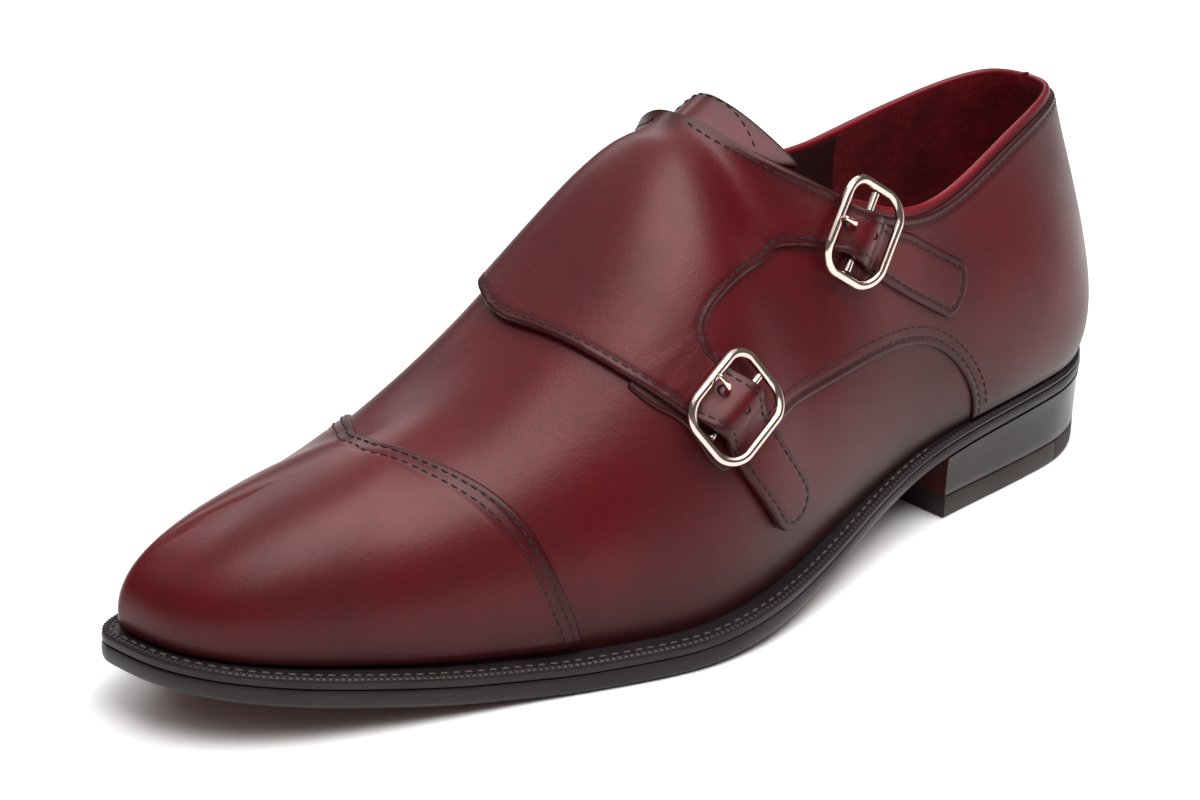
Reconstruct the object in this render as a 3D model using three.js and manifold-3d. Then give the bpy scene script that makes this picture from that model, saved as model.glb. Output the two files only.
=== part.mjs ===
// A left double monk strap shoe, empty and standing on its sole.
// Millimetres, +X from heel to toe, +Y towards the outer side of the foot, +Z up.
// Everything is laid out along the heel's own axis, and the finished group is turned by
// LONG_AXIS_TURN so that the shoe's long axis lies along X.
import * as THREE from "three";
import Module from "manifold-3d";

const wasm = await Module();
wasm.setup();

// ---- driving dimensions -----------------------------------------------------------------
const SOLE_LENGTH = 306;
const HEEL_CURVE = 36; // length of the rounded back of the outline
const HEEL_POWER = 2.2;
const TOE_START = 225; // where the outline starts to round into the toe
const TOE_POWER_OUTER = 3.0;
const TOE_POWER_INNER = 2.3;
const TOE_SWING = -34; // sideways shift of the toe tip from the heel's axis
const SWING_START = 120;
const LONG_AXIS_TURN = 5.0; // degrees
const GAP = 0.25; // space left between neighbouring pieces
const FLAP_GAP = 0.55; // the flap bridges small hollows, so it stands a little further off
const HOLLOW_LIFT = 0.7; // extra height over the hollow below the instep's inner side
const WALL = 2.0; // upper with its lining
const CAP_THICK = 1.1;
const FLAP_THICK = 2.0;
const TONGUE_THICK = 1.8;
const TONGUE_FRONT = 0.611; // t of its front edge, under the vamp
const TONGUE_HALF = 22; // half width of its front edge
const TONGUE_SPREAD = 0.072; // how far its root follows the topline down each side, in t
const TONGUE_REACH = 14.5; // length behind the flap, at the middle
const INSOLE_RISE = 2.6; // insole above the welt's top
const TOP_PIECE = 6.2; // lowest lift of the heel
const HEEL_BREAST = 82;
const RUBBER_END = 31; // front edge of the rubber part of the top piece
const CREST_AT = 0.5; // where the topline reaches the instep, as a share of the foot line
const CREST_X = 146;
const RIB_COLUMNS = 44; // ribs on each side of the upper
const RIDGE_END = 276;
const FRAME_ALONG = 22; // buckle frame, outside, along the strap
const FRAME_ACROSS = 26.5;
const FRAME_CORNER = 5.6;
const FRAME_WIRE = 1.25; // radius
const BAR_WIRE = 1.0;
const PRONG_WIRE = 0.85;
const FRAME_HEIGHT = 4.7; // frame's middle over the last
const BAR_HEIGHT = 2.8;

// outline of the sole: half widths from the middle line
const OUTLINE = [
  { x: 0, outer: 30.5, inner: 31.8 },
  { x: 45, outer: 34.8, inner: 33.0 },
  { x: 100, outer: 37.3, inner: 28.5 },
  { x: 140, outer: 46.2, inner: 31.5 },
  { x: 185, outer: 53.1, inner: 43.5 },
  { x: 225, outer: 44.0, inner: 46.0 },
  { x: 262, outer: 39.0, inner: 40.0 },
  { x: 306, outer: 40.0, inner: 22.0 },
];
// underside height over the ground, outsole thickness, welt thickness, and the welt's margin
const SOLE = [
  { x: 0, under: 22.0, outsole: 3.6, welt: 2.0, margin: 2.2 },
  { x: 60, under: 19.6, outsole: 3.6, welt: 2.0, margin: 2.4 },
  { x: 84, under: 17.6, outsole: 3.6, welt: 2.0, margin: 3.0 },
  { x: 110, under: 13.2, outsole: 3.7, welt: 2.2, margin: 3.9 },
  { x: 140, under: 7.0, outsole: 4.2, welt: 2.6, margin: 5.7 },
  { x: 170, under: 1.8, outsole: 5.0, welt: 3.2, margin: 6.3 },
  { x: 195, under: 0.0, outsole: 5.0, welt: 3.2, margin: 6.5 },
  { x: 216, under: 0.0, outsole: 5.0, welt: 3.2, margin: 6.7 },
  { x: 240, under: 2.0, outsole: 5.0, welt: 3.2, margin: 6.9 },
  { x: 270, under: 7.2, outsole: 5.0, welt: 3.2, margin: 7.0 },
  { x: 306, under: 14.3, outsole: 5.0, welt: 3.2, margin: 5.8 },
];
// the ridge of the last from the instep to the toe
const RIDGE = [
  { x: 146, y: -8.0, z: 120.5 },
  { x: 156, y: -8.0, z: 114.5 },
  { x: 170, y: -8.2, z: 102.5 },
  { x: 184, y: -8.6, z: 89.5 },
  { x: 198, y: -9.5, z: 77.0 },
  { x: 212, y: -11.0, z: 66.5 },
  { x: 226, y: -13.0, z: 59.5 },
  { x: 240, y: -15.5, z: 56.0 },
  { x: 254, y: -19.0, z: 53.2 },
  { x: 266, y: -22.5, z: 50.3 },
  { x: 276, y: -26.0, z: 46.5 },
];
// the topline of each side from the back seam (at 0) to the instep (at 1)
const TOPLINE_OUTER = [
  { at: 0.0, x: 9, y: 0.0, z: 99.0 },
  { at: 0.12, x: 14, y: 11.0, z: 99.3 },
  { at: 0.24, x: 29, y: 18.5, z: 98.3 },
  { at: 0.38, x: 47, y: 22.5, z: 95.0 },
  { at: 0.52, x: 66, y: 24.8, z: 89.3 },
  { at: 0.66, x: 86, y: 26.0, z: 86.3 },
  { at: 0.78, x: 106, y: 26.3, z: 92.0 },
  { at: 0.9, x: 128, y: 18.5, z: 106.0 },
  { at: 1.0, x: 146, y: -8.0, z: 120.5 },
];
const TOPLINE_INNER = [
  { at: 0.0, x: 9, y: 0.0, z: 99.0 },
  { at: 0.12, x: 13, y: -12.0, z: 98.5 },
  { at: 0.24, x: 26, y: -20.0, z: 95.5 },
  { at: 0.38, x: 42, y: -24.5, z: 92.0 },
  { at: 0.52, x: 60, y: -26.5, z: 89.0 },
  { at: 0.66, x: 82, y: -28.0, z: 87.5 },
  { at: 0.78, x: 106, y: -31.0, z: 92.0 },
  { at: 0.9, x: 134, y: -26.0, z: 109.0 },
  { at: 1.0, x: 146, y: -8.0, z: 120.5 },
];
// shape of a rib of the last, by its foot's place along the sole: outward lean and rise of the
// lower handle, then the inward reach, drop and outward lean of the upper handle
const RIBS = [
  { x: 0, leanOuter: 10, leanInner: 10, rise: 0.3, reach: 0, drop: 0.3, bulge: 5 },
  { x: 40, leanOuter: 9, leanInner: 8, rise: 0.3, reach: 0, drop: 0.3, bulge: 4 },
  { x: 80, leanOuter: 5, leanInner: 2, rise: 0.31, reach: 0, drop: 0.3, bulge: 3 },
  { x: 110, leanOuter: 5, leanInner: 1, rise: 0.32, reach: 0.05, drop: 0.3, bulge: 3 },
  { x: 140, leanOuter: 8, leanInner: 3, rise: 0.34, reach: 0.25, drop: 0.22, bulge: 4 },
  { x: 165, leanOuter: 8, leanInner: 6, rise: 0.37, reach: 0.45, drop: 0.08, bulge: 4 },
  { x: 190, leanOuter: 7, leanInner: 6, rise: 0.42, reach: 0.5, drop: 0.02, bulge: 2 },
  { x: 225, leanOuter: 5, leanInner: 5, rise: 0.5, reach: 0.55, drop: 0, bulge: 0 },
  { x: 260, leanOuter: 4, leanInner: 4, rise: 0.55, reach: 0.6, drop: 0, bulge: 0 },
  { x: 285, leanOuter: 3, leanInner: 3, rise: 0.6, reach: 0.62, drop: 0, bulge: 0 },
  { x: 306, leanOuter: 3, leanInner: 3, rise: 0.62, reach: 0.62, drop: 0, bulge: 0 },
];
// how far up a rib the upper reaches: 1 is the topline or the ridge, less leaves the throat open
const THROAT = [
  { t: 0.0, top: 1.0 },
  { t: 0.37, top: 1.0 },
  { t: 0.41, top: 0.95 },
  { t: 0.45, top: 0.86 },
  { t: 0.5, top: 0.77 },
  { t: 0.54, top: 0.78 },
  { t: 0.58, top: 0.82 },
  { t: 0.61, top: 0.89 },
  { t: 0.635, top: 1.0 },
  { t: 1.0, top: 1.0 },
];
// Seams and edges on the last. t runs from heel (0) to toe (1) along the foot line, w from the
// outer foot line (0) over the ridge (1) to the inner foot line (2). An edge that crosses the
// ridge is given by its x at each w instead.
const CAP_SEAM = [
  { w: 0.0, x: 214 },
  { w: 0.16, x: 219.2 },
  { w: 0.36, x: 224 },
  { w: 0.6, x: 230 },
  { w: 0.8, x: 234.5 },
  { w: 1.0, x: 238.5 },
  { w: 1.1, x: 238.5 },
  { w: 1.27, x: 233 },
  { w: 1.5, x: 223.5 },
  { w: 1.7, x: 213 },
  { w: 1.82, x: 205.5 },
  { w: 2.0, x: 197 },
];
const FLAP_FRONT = [
  { w: 0.414, x: 183 },
  { w: 0.5, x: 188.5 },
  { w: 0.6, x: 193 },
  { w: 0.72, x: 196 },
  { w: 0.86, x: 197.8 },
  { w: 1.0, x: 198.5 },
  { w: 1.1, x: 197.6 },
  { w: 1.246, x: 193 },
  { w: 1.34, x: 188.5 },
  { w: 1.434, x: 182 },
  { w: 1.56, x: 170.5 },
  { w: 1.685, x: 155 },
  { w: 1.826, x: 141 },
];
const FLAP_SEAM = [
  { t: 0.455, w: 1.794 },
  { t: 0.428, w: 1.734 },
  { t: 0.392, w: 1.623 },
];
const FLAP_CUT = [
  { t: 0.413, w: 0.779 },
  { t: 0.43, w: 0.758 },
  { t: 0.447, w: 0.722 },
  { t: 0.465, w: 0.675 },
  { t: 0.492, w: 0.606 },
  { t: 0.531, w: 0.577 },
  { t: 0.548, w: 0.56 },
  { t: 0.555, w: 0.535 },
  { t: 0.553, w: 0.5 },
];
// straps: middle line from the flap to the round tip, and the place of the buckle's bar
const STRAPS = [
  {
    name: "upper",
    bar: { t: 0.3935, w: 0.875 },
    path: [
      { t: 0.43, w: 0.893 },
      { t: 0.3935, w: 0.875 },
      { t: 0.342, w: 0.757 },
      { t: 0.313, w: 0.64 },
      { t: 0.31, w: 0.565 },
    ],
    width: 15.5,
  },
  {
    name: "lower",
    bar: { t: 0.5465, w: 0.389 },
    path: [
      { t: 0.565, w: 0.475 },
      { t: 0.5465, w: 0.389 },
      { t: 0.5255, w: 0.27 },
      { t: 0.507, w: 0.18 },
      { t: 0.5, w: 0.122 },
    ],
    width: 15.5,
  },
];
const FLAP_REAR_OUTER = 0.407; // t where the flap's rear edge leaves the topline, each side
const FLAP_REAR_INNER = 0.378;

// ---- small mathematics ------------------------------------------------------------------
const clamp = (v, a, b) => Math.min(b, Math.max(a, v));
const add = (a, b, k = 1) => [a[0] + b[0] * k, a[1] + b[1] * k, a[2] + b[2] * k];
const sub = (a, b) => add(a, b, -1);
const dot = (a, b) => a[0] * b[0] + a[1] * b[1] + a[2] * b[2];
const cross = (a, b) => [
  a[1] * b[2] - a[2] * b[1],
  a[2] * b[0] - a[0] * b[2],
  a[0] * b[1] - a[1] * b[0],
];
const length = (a) => Math.hypot(a[0], a[1], a[2]);
const unit = (a) => add([0, 0, 0], a, 1 / (length(a) || 1));
const mix = (a, b, k) => a.map((v, i) => v + (b[i] - v) * k);

// A natural cubic spline through one column of a table.
const splineCache = new Map();
function spline(table, key, column, x) {
  const id = column + key + table.length + table[1][key] + "/" + table[1][column];
  const n = table.length;
  if (!splineCache.has(id)) {
    const second = new Array(n).fill(0);
    const c = new Array(n).fill(0);
    const d = new Array(n).fill(0);
    for (let i = 1; i < n - 1; i++) {
      const h0 = table[i][key] - table[i - 1][key];
      const h1 = table[i + 1][key] - table[i][key];
      const r =
        6 *
        ((table[i + 1][column] - table[i][column]) / h1 -
          (table[i][column] - table[i - 1][column]) / h0);
      const p = 2 * (h0 + h1) - h0 * c[i - 1];
      c[i] = h1 / p;
      d[i] = (r - h0 * d[i - 1]) / p;
    }
    for (let i = n - 2; i > 0; i--) second[i] = d[i] - c[i] * second[i + 1];
    splineCache.set(id, second);
  }
  const m = splineCache.get(id);
  x = clamp(x, table[0][key], table[n - 1][key]);
  let i = 0;
  while (i < n - 2 && x > table[i + 1][key]) i++;
  const h = table[i + 1][key] - table[i][key];
  const b = (x - table[i][key]) / h;
  const a = 1 - b;
  return (
    a * table[i][column] +
    b * table[i + 1][column] +
    (((a ** 3 - a) * m[i] + (b ** 3 - b) * m[i + 1]) * h * h) / 6
  );
}

// A smooth curve through one column that never overshoots a row.
function smooth(table, key, column, x) {
  const n = table.length;
  x = clamp(x, table[0][key], table[n - 1][key]);
  let i = 0;
  while (i < n - 2 && x > table[i + 1][key]) i++;
  const slope = (k) =>
    (table[k + 1][column] - table[k][column]) / (table[k + 1][key] - table[k][key]);
  const tangent = (k) => {
    if (k === 0) return slope(0);
    if (k === n - 1) return slope(n - 2);
    const a = slope(k - 1);
    const b = slope(k);
    return a * b <= 0 ? 0 : (2 * a * b) / (a + b);
  };
  const h = table[i + 1][key] - table[i][key];
  const u = (x - table[i][key]) / h;
  return (
    table[i][column] * (2 * u ** 3 - 3 * u * u + 1) +
    tangent(i) * h * (u ** 3 - 2 * u * u + u) +
    table[i + 1][column] * (3 * u * u - 2 * u ** 3) +
    tangent(i + 1) * h * (u ** 3 - u * u)
  );
}

// ---- the last and the sole's outline ----------------------------------------------------
const soleX = (t) => (SOLE_LENGTH * (1 - Math.cos(Math.PI * t))) / 2;
const middle = (x) =>
  TOE_SWING * Math.max(0, (x - SWING_START) / (SOLE_LENGTH - SWING_START)) ** 2;

// Edge of the sole on one side (side 1 is the outer one) at t along it.
function soleEdge(side, t) {
  const x = soleX(t);
  let half = spline(OUTLINE, "x", side > 0 ? "outer" : "inner", x);
  const power = side > 0 ? TOE_POWER_OUTER : TOE_POWER_INNER;
  if (x < HEEL_CURVE)
    half *= (1 - (1 - x / HEEL_CURVE) ** HEEL_POWER) ** (1 / HEEL_POWER);
  if (x > TOE_START)
    half *=
      Math.max(0, 1 - ((x - TOE_START) / (SOLE_LENGTH - TOE_START)) ** power) **
      (1 / power);
  return [x, middle(x) + side * half, 0];
}

function edgeNormal(side, t) {
  if (t < 1e-6) return [-1, 0, 0];
  if (t > 1 - 1e-6) return [1, 0, 0];
  const e = Math.min(0.004, t, 1 - t);
  const d = sub(soleEdge(side, t + e), soleEdge(side, t - e));
  return unit([-d[1] * side, d[0] * side, 0]);
}

const insetEdge = (side, t, by) => add(soleEdge(side, t), edgeNormal(side, t), -by);
const margin = (x) => smooth(SOLE, "x", "margin", x);
const under = (x) => Math.max(0, smooth(SOLE, "x", "under", x));
const outsoleTop = (x) => under(x) + smooth(SOLE, "x", "outsole", x);
const weltTop = (x) => outsoleTop(x) + smooth(SOLE, "x", "welt", x);

// Point on the topline or, past CREST_AT, on the ridge. Both are run through slowly next to
// the instep's corner, so that the ribs fan out there and leave no crease.
const slowStart = (u) => (u * u * 1.07) / (u + 0.07);
function crest(side, t) {
  if (t <= CREST_AT) {
    const table = side > 0 ? TOPLINE_OUTER : TOPLINE_INNER;
    const at = 1 - slowStart(1 - t / CREST_AT);
    return ["x", "y", "z"].map((c) => spline(table, "at", c, at));
  }
  const u = slowStart((t - CREST_AT) / (1 - CREST_AT));
  const x = CREST_X + (RIDGE_END - CREST_X) * (1 - (1 - u) ** 1.25);
  return [x, smooth(RIDGE, "x", "y", x), smooth(RIDGE, "x", "z", x)];
}

// Point on the last: side, t along the foot line, v from the foot line (0) to the crest (1).
function rib(side, t, v) {
  const n = edgeNormal(side, t);
  const foot = insetEdge(side, t, margin(soleX(t)));
  const x = foot[0];
  foot[2] = weltTop(x);
  const top = crest(side, t);
  const h = top[2] - foot[2];
  const shape = (c) => smooth(RIBS, "x", c, x);
  const low = add(foot, n, shape(side > 0 ? "leanOuter" : "leanInner"));
  low[2] += shape("rise") * h;
  const reach = shape("reach");
  const high = [
    top[0] + (foot[0] - top[0]) * reach + n[0] * shape("bulge"),
    top[1] + (foot[1] - top[1]) * reach + n[1] * shape("bulge"),
    top[2] - shape("drop") * h,
  ];
  if (t > CREST_AT) {
    const slope =
      top[0] < RIDGE_END - 1
        ? (smooth(RIDGE, "x", "z", top[0] + 1) - smooth(RIDGE, "x", "z", top[0] - 1)) / 2
        : -0.42;
    high[2] += slope * (high[0] - top[0]) * Math.min(1, (t - CREST_AT) / 0.12);
  }
  const a = 1 - v;
  return [0, 1, 2].map(
    (i) =>
      foot[i] * a ** 3 +
      3 * a * a * v * low[i] +
      3 * a * v * v * high[i] +
      v ** 3 * top[i],
  );
}

// The same surface with t and w running on round the toe and the heel and over the ridge.
function lastPoint(t, w) {
  if (t > 1) return lastPoint(2 - t, 2 - w);
  if (t < 0) return lastPoint(-t, 2 - w);
  return w <= 1 ? rib(1, t, w) : rib(-1, t, 2 - w);
}

function lastNormal(t, w) {
  if (t > 0.985 && Math.abs(w - 1) < 0.02) t = 0.985;
  const dt = 0.004;
  const dw = 0.012;
  let low = Math.max(0, w - dw);
  let high = Math.min(2, w + dw);
  if (t < CREST_AT) {
    if (w <= 1) high = Math.min(1, high);
    else low = Math.max(1.000001, low);
  }
  const up = sub(lastPoint(t, high), lastPoint(t, low));
  const along = sub(lastPoint(t + dt, w), lastPoint(t - dt, w));
  return unit(cross(up, along));
}

const offLast = (t, w, h) => add(lastPoint(t, w), lastNormal(t, w), h);

// ---- making solids ----------------------------------------------------------------------
// A closed solid from a sheet of triangles: each point has an outside and an inside place,
// and the sheet's free edges are closed by walls. Points closer than `snap` become one.
function shell(points, triangles, snap = 0.02) {
  const cells = new Map();
  const kept = [];
  const index = points.map((p) => {
    const c = p.out.map((v) => Math.floor(v / snap));
    for (let i = -1; i < 2; i++)
      for (let j = -1; j < 2; j++)
        for (let k = -1; k < 2; k++) {
          const at = cells.get([c[0] + i, c[1] + j, c[2] + k].join());
          if (at !== undefined && length(sub(kept[at].out, p.out)) < snap) return at;
        }
    kept.push(p);
    cells.set(c.join(), kept.length - 1);
    return kept.length - 1;
  });
  const faces = triangles
    .map((f) => f.map((i) => index[i]))
    .filter((f) => f[0] !== f[1] && f[1] !== f[2] && f[0] !== f[2]);
  const edges = new Map();
  for (const f of faces)
    for (let i = 0; i < 3; i++) edges.set(f[i] + "," + f[(i + 1) % 3], true);
  const n = kept.length;
  const all = [];
  for (const f of faces) {
    all.push(f, [f[2] + n, f[1] + n, f[0] + n]);
    for (let i = 0; i < 3; i++) {
      const a = f[i];
      const b = f[(i + 1) % 3];
      if (!edges.has(b + "," + a)) all.push([b, a, a + n], [b, a + n, b + n]);
    }
  }
  return geometry([...kept.map((p) => p.out), ...kept.map((p) => p.in)], all);
}

function geometry(vertices, faces) {
  let volume = 0;
  for (const [a, b, c] of faces)
    volume += dot(vertices[a], cross(vertices[b], vertices[c]));
  const turned = volume < 0 ? faces.map((f) => [f[2], f[1], f[0]]) : faces;
  return new THREE.BufferGeometry()
    .setAttribute("position", new THREE.Float32BufferAttribute(vertices.flat(), 3))
    .setIndex(turned.flat());
}

// A sheet of (rows x columns) points with both diagonals' quads split the same way.
function gridShell(rows, closed = false) {
  const n = rows[0].length;
  const triangles = [];
  const count = closed ? rows.length : rows.length - 1;
  for (let i = 0; i < count; i++)
    for (let j = 0; j < n - 1; j++) {
      const a = i * n + j;
      const b = ((i + 1) % rows.length) * n + j;
      triangles.push([a, b, b + 1], [a, b + 1, a + 1]);
    }
  return shell(rows.flat(), triangles);
}

function toManifold(g) {
  return new wasm.Manifold(
    new wasm.Mesh({
      numProp: 3,
      vertProperties: new Float32Array(g.attributes.position.array),
      triVerts: new Uint32Array(g.index.array),
    }),
  );
}

function fromManifold(m) {
  const mesh = m.getMesh();
  const n = mesh.numProp;
  const position = new Float32Array(mesh.numVert * 3);
  for (let i = 0; i < mesh.numVert; i++)
    position.set(mesh.vertProperties.subarray(i * n, i * n + 3), i * 3);
  return new THREE.BufferGeometry()
    .setAttribute("position", new THREE.BufferAttribute(position, 3))
    .setIndex(new THREE.BufferAttribute(mesh.triVerts, 1));
}

// Part of a polygon inside one rectangle of the (t, w) plane.
function clip(polygon, t0, t1, w0, w1) {
  const sides = [
    [0, t0, 1],
    [0, t1, -1],
    [1, w0, 1],
    [1, w1, -1],
  ];
  for (const [axis, limit, sign] of sides) {
    const next = [];
    polygon.forEach((p, i) => {
      const q = polygon[(i + 1) % polygon.length];
      const a = (p[axis] - limit) * sign;
      const b = (q[axis] - limit) * sign;
      if (a >= 0) next.push(p);
      if (a * b < 0) {
        const k = a / (a - b);
        const r = [p[0] + (q[0] - p[0]) * k, p[1] + (q[1] - p[1]) * k];
        r[axis] = limit;
        next.push(r);
      }
    });
    polygon = next;
    if (polygon.length < 3) return [];
  }
  return polygon;
}

// Panels laid on the last: the insides of the polygons, from `low` to `low + thick` over it,
// cut into cells by the given lines of t and of w.
function panel(polygons, low, thick, linesT, linesW, lift = () => 0) {
  const points = [];
  const triangles = [];
  for (const polygon of polygons)
    for (let i = 0; i < linesT.length - 1; i++)
      for (let j = 0; j < linesW.length - 1; j++) {
        const piece = clip(polygon, linesT[i], linesT[i + 1], linesW[j], linesW[j + 1]);
        if (piece.length < 3) continue;
        const flat = piece.map((p) => new THREE.Vector2(p[0] * 4, p[1]));
        const base = points.length;
        for (const p of piece) {
          const height = low + lift(p[0], p[1]);
          points.push({
            out: offLast(p[0], p[1], height + thick),
            in: offLast(p[0], p[1], height),
          });
        }
        for (const f of THREE.ShapeUtils.triangulateShape(flat, []))
          triangles.push([base + f[0], base + f[1], base + f[2]]);
      }
  return shell(points, triangles, 0.12);
}

// Lines from a to b, evenly spaced.
const lines = (a, b, n) => Array.from({ length: n + 1 }, (_, i) => a + ((b - a) * i) / n);

const row = (p) => [p.t, p.w];

// Points along an edge that crosses the ridge, from one w to another.
function crossEdge(table, from, to, n) {
  return lines(from, to, n).map((w) => {
    const x = smooth(table, "w", "x", w);
    let low = 0.3;
    let high = 1;
    for (let i = 0; i < 30; i++) {
      const mid = (low + high) / 2;
      if (lastPoint(mid, w)[0] < x) low = mid;
      else high = mid;
    }
    return [(low + high) / 2, w];
  });
}

// ---- sole, welt, insole, heel -----------------------------------------------------------
const SHARES = (n) => Array.from({ length: n + 1 }, (_, i) => i / n);

function soleSlab(top, bottom, inset, columns, across, tEnd = 0.985) {
  const rows = [];
  for (const s of SHARES(columns)) {
    const t = 1 - tEnd + (2 * tEnd - 1) * s;
    const right = insetEdge(-1, t, inset(soleX(t)));
    const left = insetEdge(1, t, inset(soleX(t)));
    rows.push(
      SHARES(across).map((k) => {
        const p = mix(right, left, k);
        return { out: [p[0], p[1], top(p[0])], in: [p[0], p[1], bottom(p[0])] };
      }),
    );
  }
  return gridShell(rows);
}

// stations round the whole outline: outer side heel to toe, then inner side toe to heel
function aroundOutline(n) {
  const stations = [];
  for (let i = 0; i < n; i++) stations.push([1, i / n]);
  for (let i = n; i > 0; i--) stations.push([-1, i / n]);
  return stations;
}

const outsole = soleSlab(outsoleTop, under, () => 0, 44, 6);

const welt = gridShell(
  aroundOutline(44).map(([side, t]) => {
    const x = soleX(t);
    return [0.3, margin(x) + WALL + 0.1].map((by) => {
      const p = insetEdge(side, t, by);
      return {
        out: [p[0], p[1], weltTop(p[0]) - GAP],
        in: [p[0], p[1], outsoleTop(p[0]) + GAP],
      };
    });
  }),
  true,
);

const insole = soleSlab(
  (x) => weltTop(x) + INSOLE_RISE,
  (x) => outsoleTop(x) + GAP,
  (x) => margin(x) + WALL + 0.6,
  36,
  6,
  0.97,
);

// One layer of the heel between two heights, with the outline drawn in by a share of the drop.
function heelLayer(zTop, zBottom, from, to, insetTop, insetBottom, columns, across) {
  const rows = [];
  const tAt = (x) => Math.acos(1 - (2 * x) / SOLE_LENGTH) / Math.PI;
  for (const s of SHARES(columns)) {
    const x = from + (to - from) * s ** 1.6;
    const t = tAt(x);
    const place = (by, k) => {
      const a = insetEdge(-1, t, by);
      const b = insetEdge(1, t, by);
      const p = mix(a, b, k);
      return [Math.min(p[0], to), p[1]];
    };
    rows.push(
      SHARES(across).map((k) => {
        const a = place(insetTop, k);
        const b = place(insetBottom, k);
        return { out: [a[0], a[1], zTop(a[0])], in: [b[0], b[1], zBottom] };
      }),
    );
  }
  return gridShell(rows);
}

const heelStack = heelLayer(
  (x) => under(x) - GAP,
  TOP_PIECE,
  0.25,
  HEEL_BREAST,
  0.5,
  1.4,
  20,
  4,
);
const rubberTopPiece = heelLayer(
  () => TOP_PIECE,
  0,
  0.25,
  RUBBER_END,
  1.4,
  1.8,
  14,
  2,
);
const leatherTopPiece = heelLayer(
  () => TOP_PIECE,
  0,
  RUBBER_END + GAP,
  HEEL_BREAST - 0.4,
  1.4,
  1.8,
  8,
  2,
);

// ---- upper, toe cap, tongue -------------------------------------------------------------
const RIB_ROWS = 10;
const upper = (() => {
  const at = (t, w) => {
    const p = lastPoint(t, w);
    const q = offLast(t, w, -WALL);
    if (w === 0 || w === 2) q[2] = p[2];
    return { out: p, in: q };
  };
  const rows = aroundOutline(RIB_COLUMNS).map(([side, t]) => {
    const top = smooth(THROAT, "t", "top", t);
    return SHARES(RIB_ROWS).map((k) => {
      const v = k * top;
      return at(t, side > 0 ? v : Math.max(2 - v, 1.000001));
    });
  });
  return gridShell(rows, true);
})();

const toeCap = (() => {
  // the two halves share the ridge and the toe tip's rib, so they weld into one sheet
  const outer = [[1, 0.02], ...crossEdge(CAP_SEAM, 0.02, 1, 10), [1, 1]];
  const inner = [...crossEdge(CAP_SEAM, 1, 1.98, 10), [1, 1.98], [1, 1]];
  return panel([outer, inner], GAP + 0.1, CAP_THICK, lines(0.58, 1, 16), lines(0, 2, 20));
})();

// w at a given distance down a rib from the ridge
function downRib(t, side, distance, under) {
  let w = 1;
  let last = offLast(t, w, under);
  let gone = 0;
  while (gone < distance && w > 0.05 && w < 1.95) {
    w += side * 0.01;
    const p = offLast(t, w, under);
    gone += length(sub(p, last));
    last = p;
  }
  return w;
}

const tongue = (() => {
  const below = -WALL - GAP - 0.6;
  const across = 14;
  const outerFront = downRib(TONGUE_FRONT, -1, TONGUE_HALF, below);
  const innerFront = downRib(TONGUE_FRONT, 1, TONGUE_HALF, below);
  const columns = SHARES(across).map((s) => {
    const k = 2 * s - 1; // -1 on the outer side, 1 on the inner side
    const front = k < 0 ? 1 + (1 - outerFront) * k : 1 + (innerFront - 1) * k;
    return { k, front, t: 0.502 - TONGUE_SPREAD * Math.abs(k) ** 1.3, w: 1 + 0.012 * k };
  });
  const rows = SHARES(9).map((s) =>
    columns.map((c) => {
      const t = TONGUE_FRONT + (c.t - TONGUE_FRONT) * s;
      const w = c.front + (c.w - c.front) * s ** 1.15;
      return { out: offLast(t, w, below), in: offLast(t, w, below - TONGUE_THICK) };
    }),
  );
  // behind the flap the tongue runs on to a round end
  const root = rows[rows.length - 1];
  const before = rows[rows.length - 2];
  for (const s of [0.25, 0.5, 0.75, 0.92, 1])
    rows.push(
      root.map((p, j) => {
        const reach = TONGUE_REACH * (1 - 0.6 * Math.abs(columns[j].k) ** 2.2) * s;
        const heading = unit(add(unit(sub(p.out, before[j].out)), [-0.45, 0, 0]));
        return { out: add(p.out, heading, reach), in: add(p.in, heading, reach) };
      }),
    );
  return gridShell(rows);
})();

// ---- flap with its two straps, and the buckles ------------------------------------------
function frameAt(strap) {
  const { t, w } = strap.bar;
  const origin = lastPoint(t, w);
  const up = lastNormal(t, w);
  const a = lastPoint(strap.path[0].t, strap.path[0].w);
  const b = lastPoint(strap.path[2].t, strap.path[2].w);
  let along = sub(b, a);
  along = unit(sub(along, add([0, 0, 0], up, dot(along, up))));
  const across = cross(up, along);
  return { origin, up, along, across };
}

const place = (f, a, c, h) => add(add(add(f.origin, f.along, a), f.across, c), f.up, h);

for (const strap of STRAPS) strap.frame = frameAt(strap);

// How much the strap rises over the buckle's bar.
function overBar(t, w) {
  const p = lastPoint(t, w);
  let rise = 0;
  for (const strap of STRAPS) {
    const d = sub(p, strap.frame.origin);
    const far = Math.abs(dot(d, strap.frame.along));
    if (length(d) < 16 && far < 8)
      rise = Math.max(rise, 4.1 * Math.cos((Math.PI / 2) * (far / 8)) ** 1.6);
  }
  return rise;
}

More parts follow.
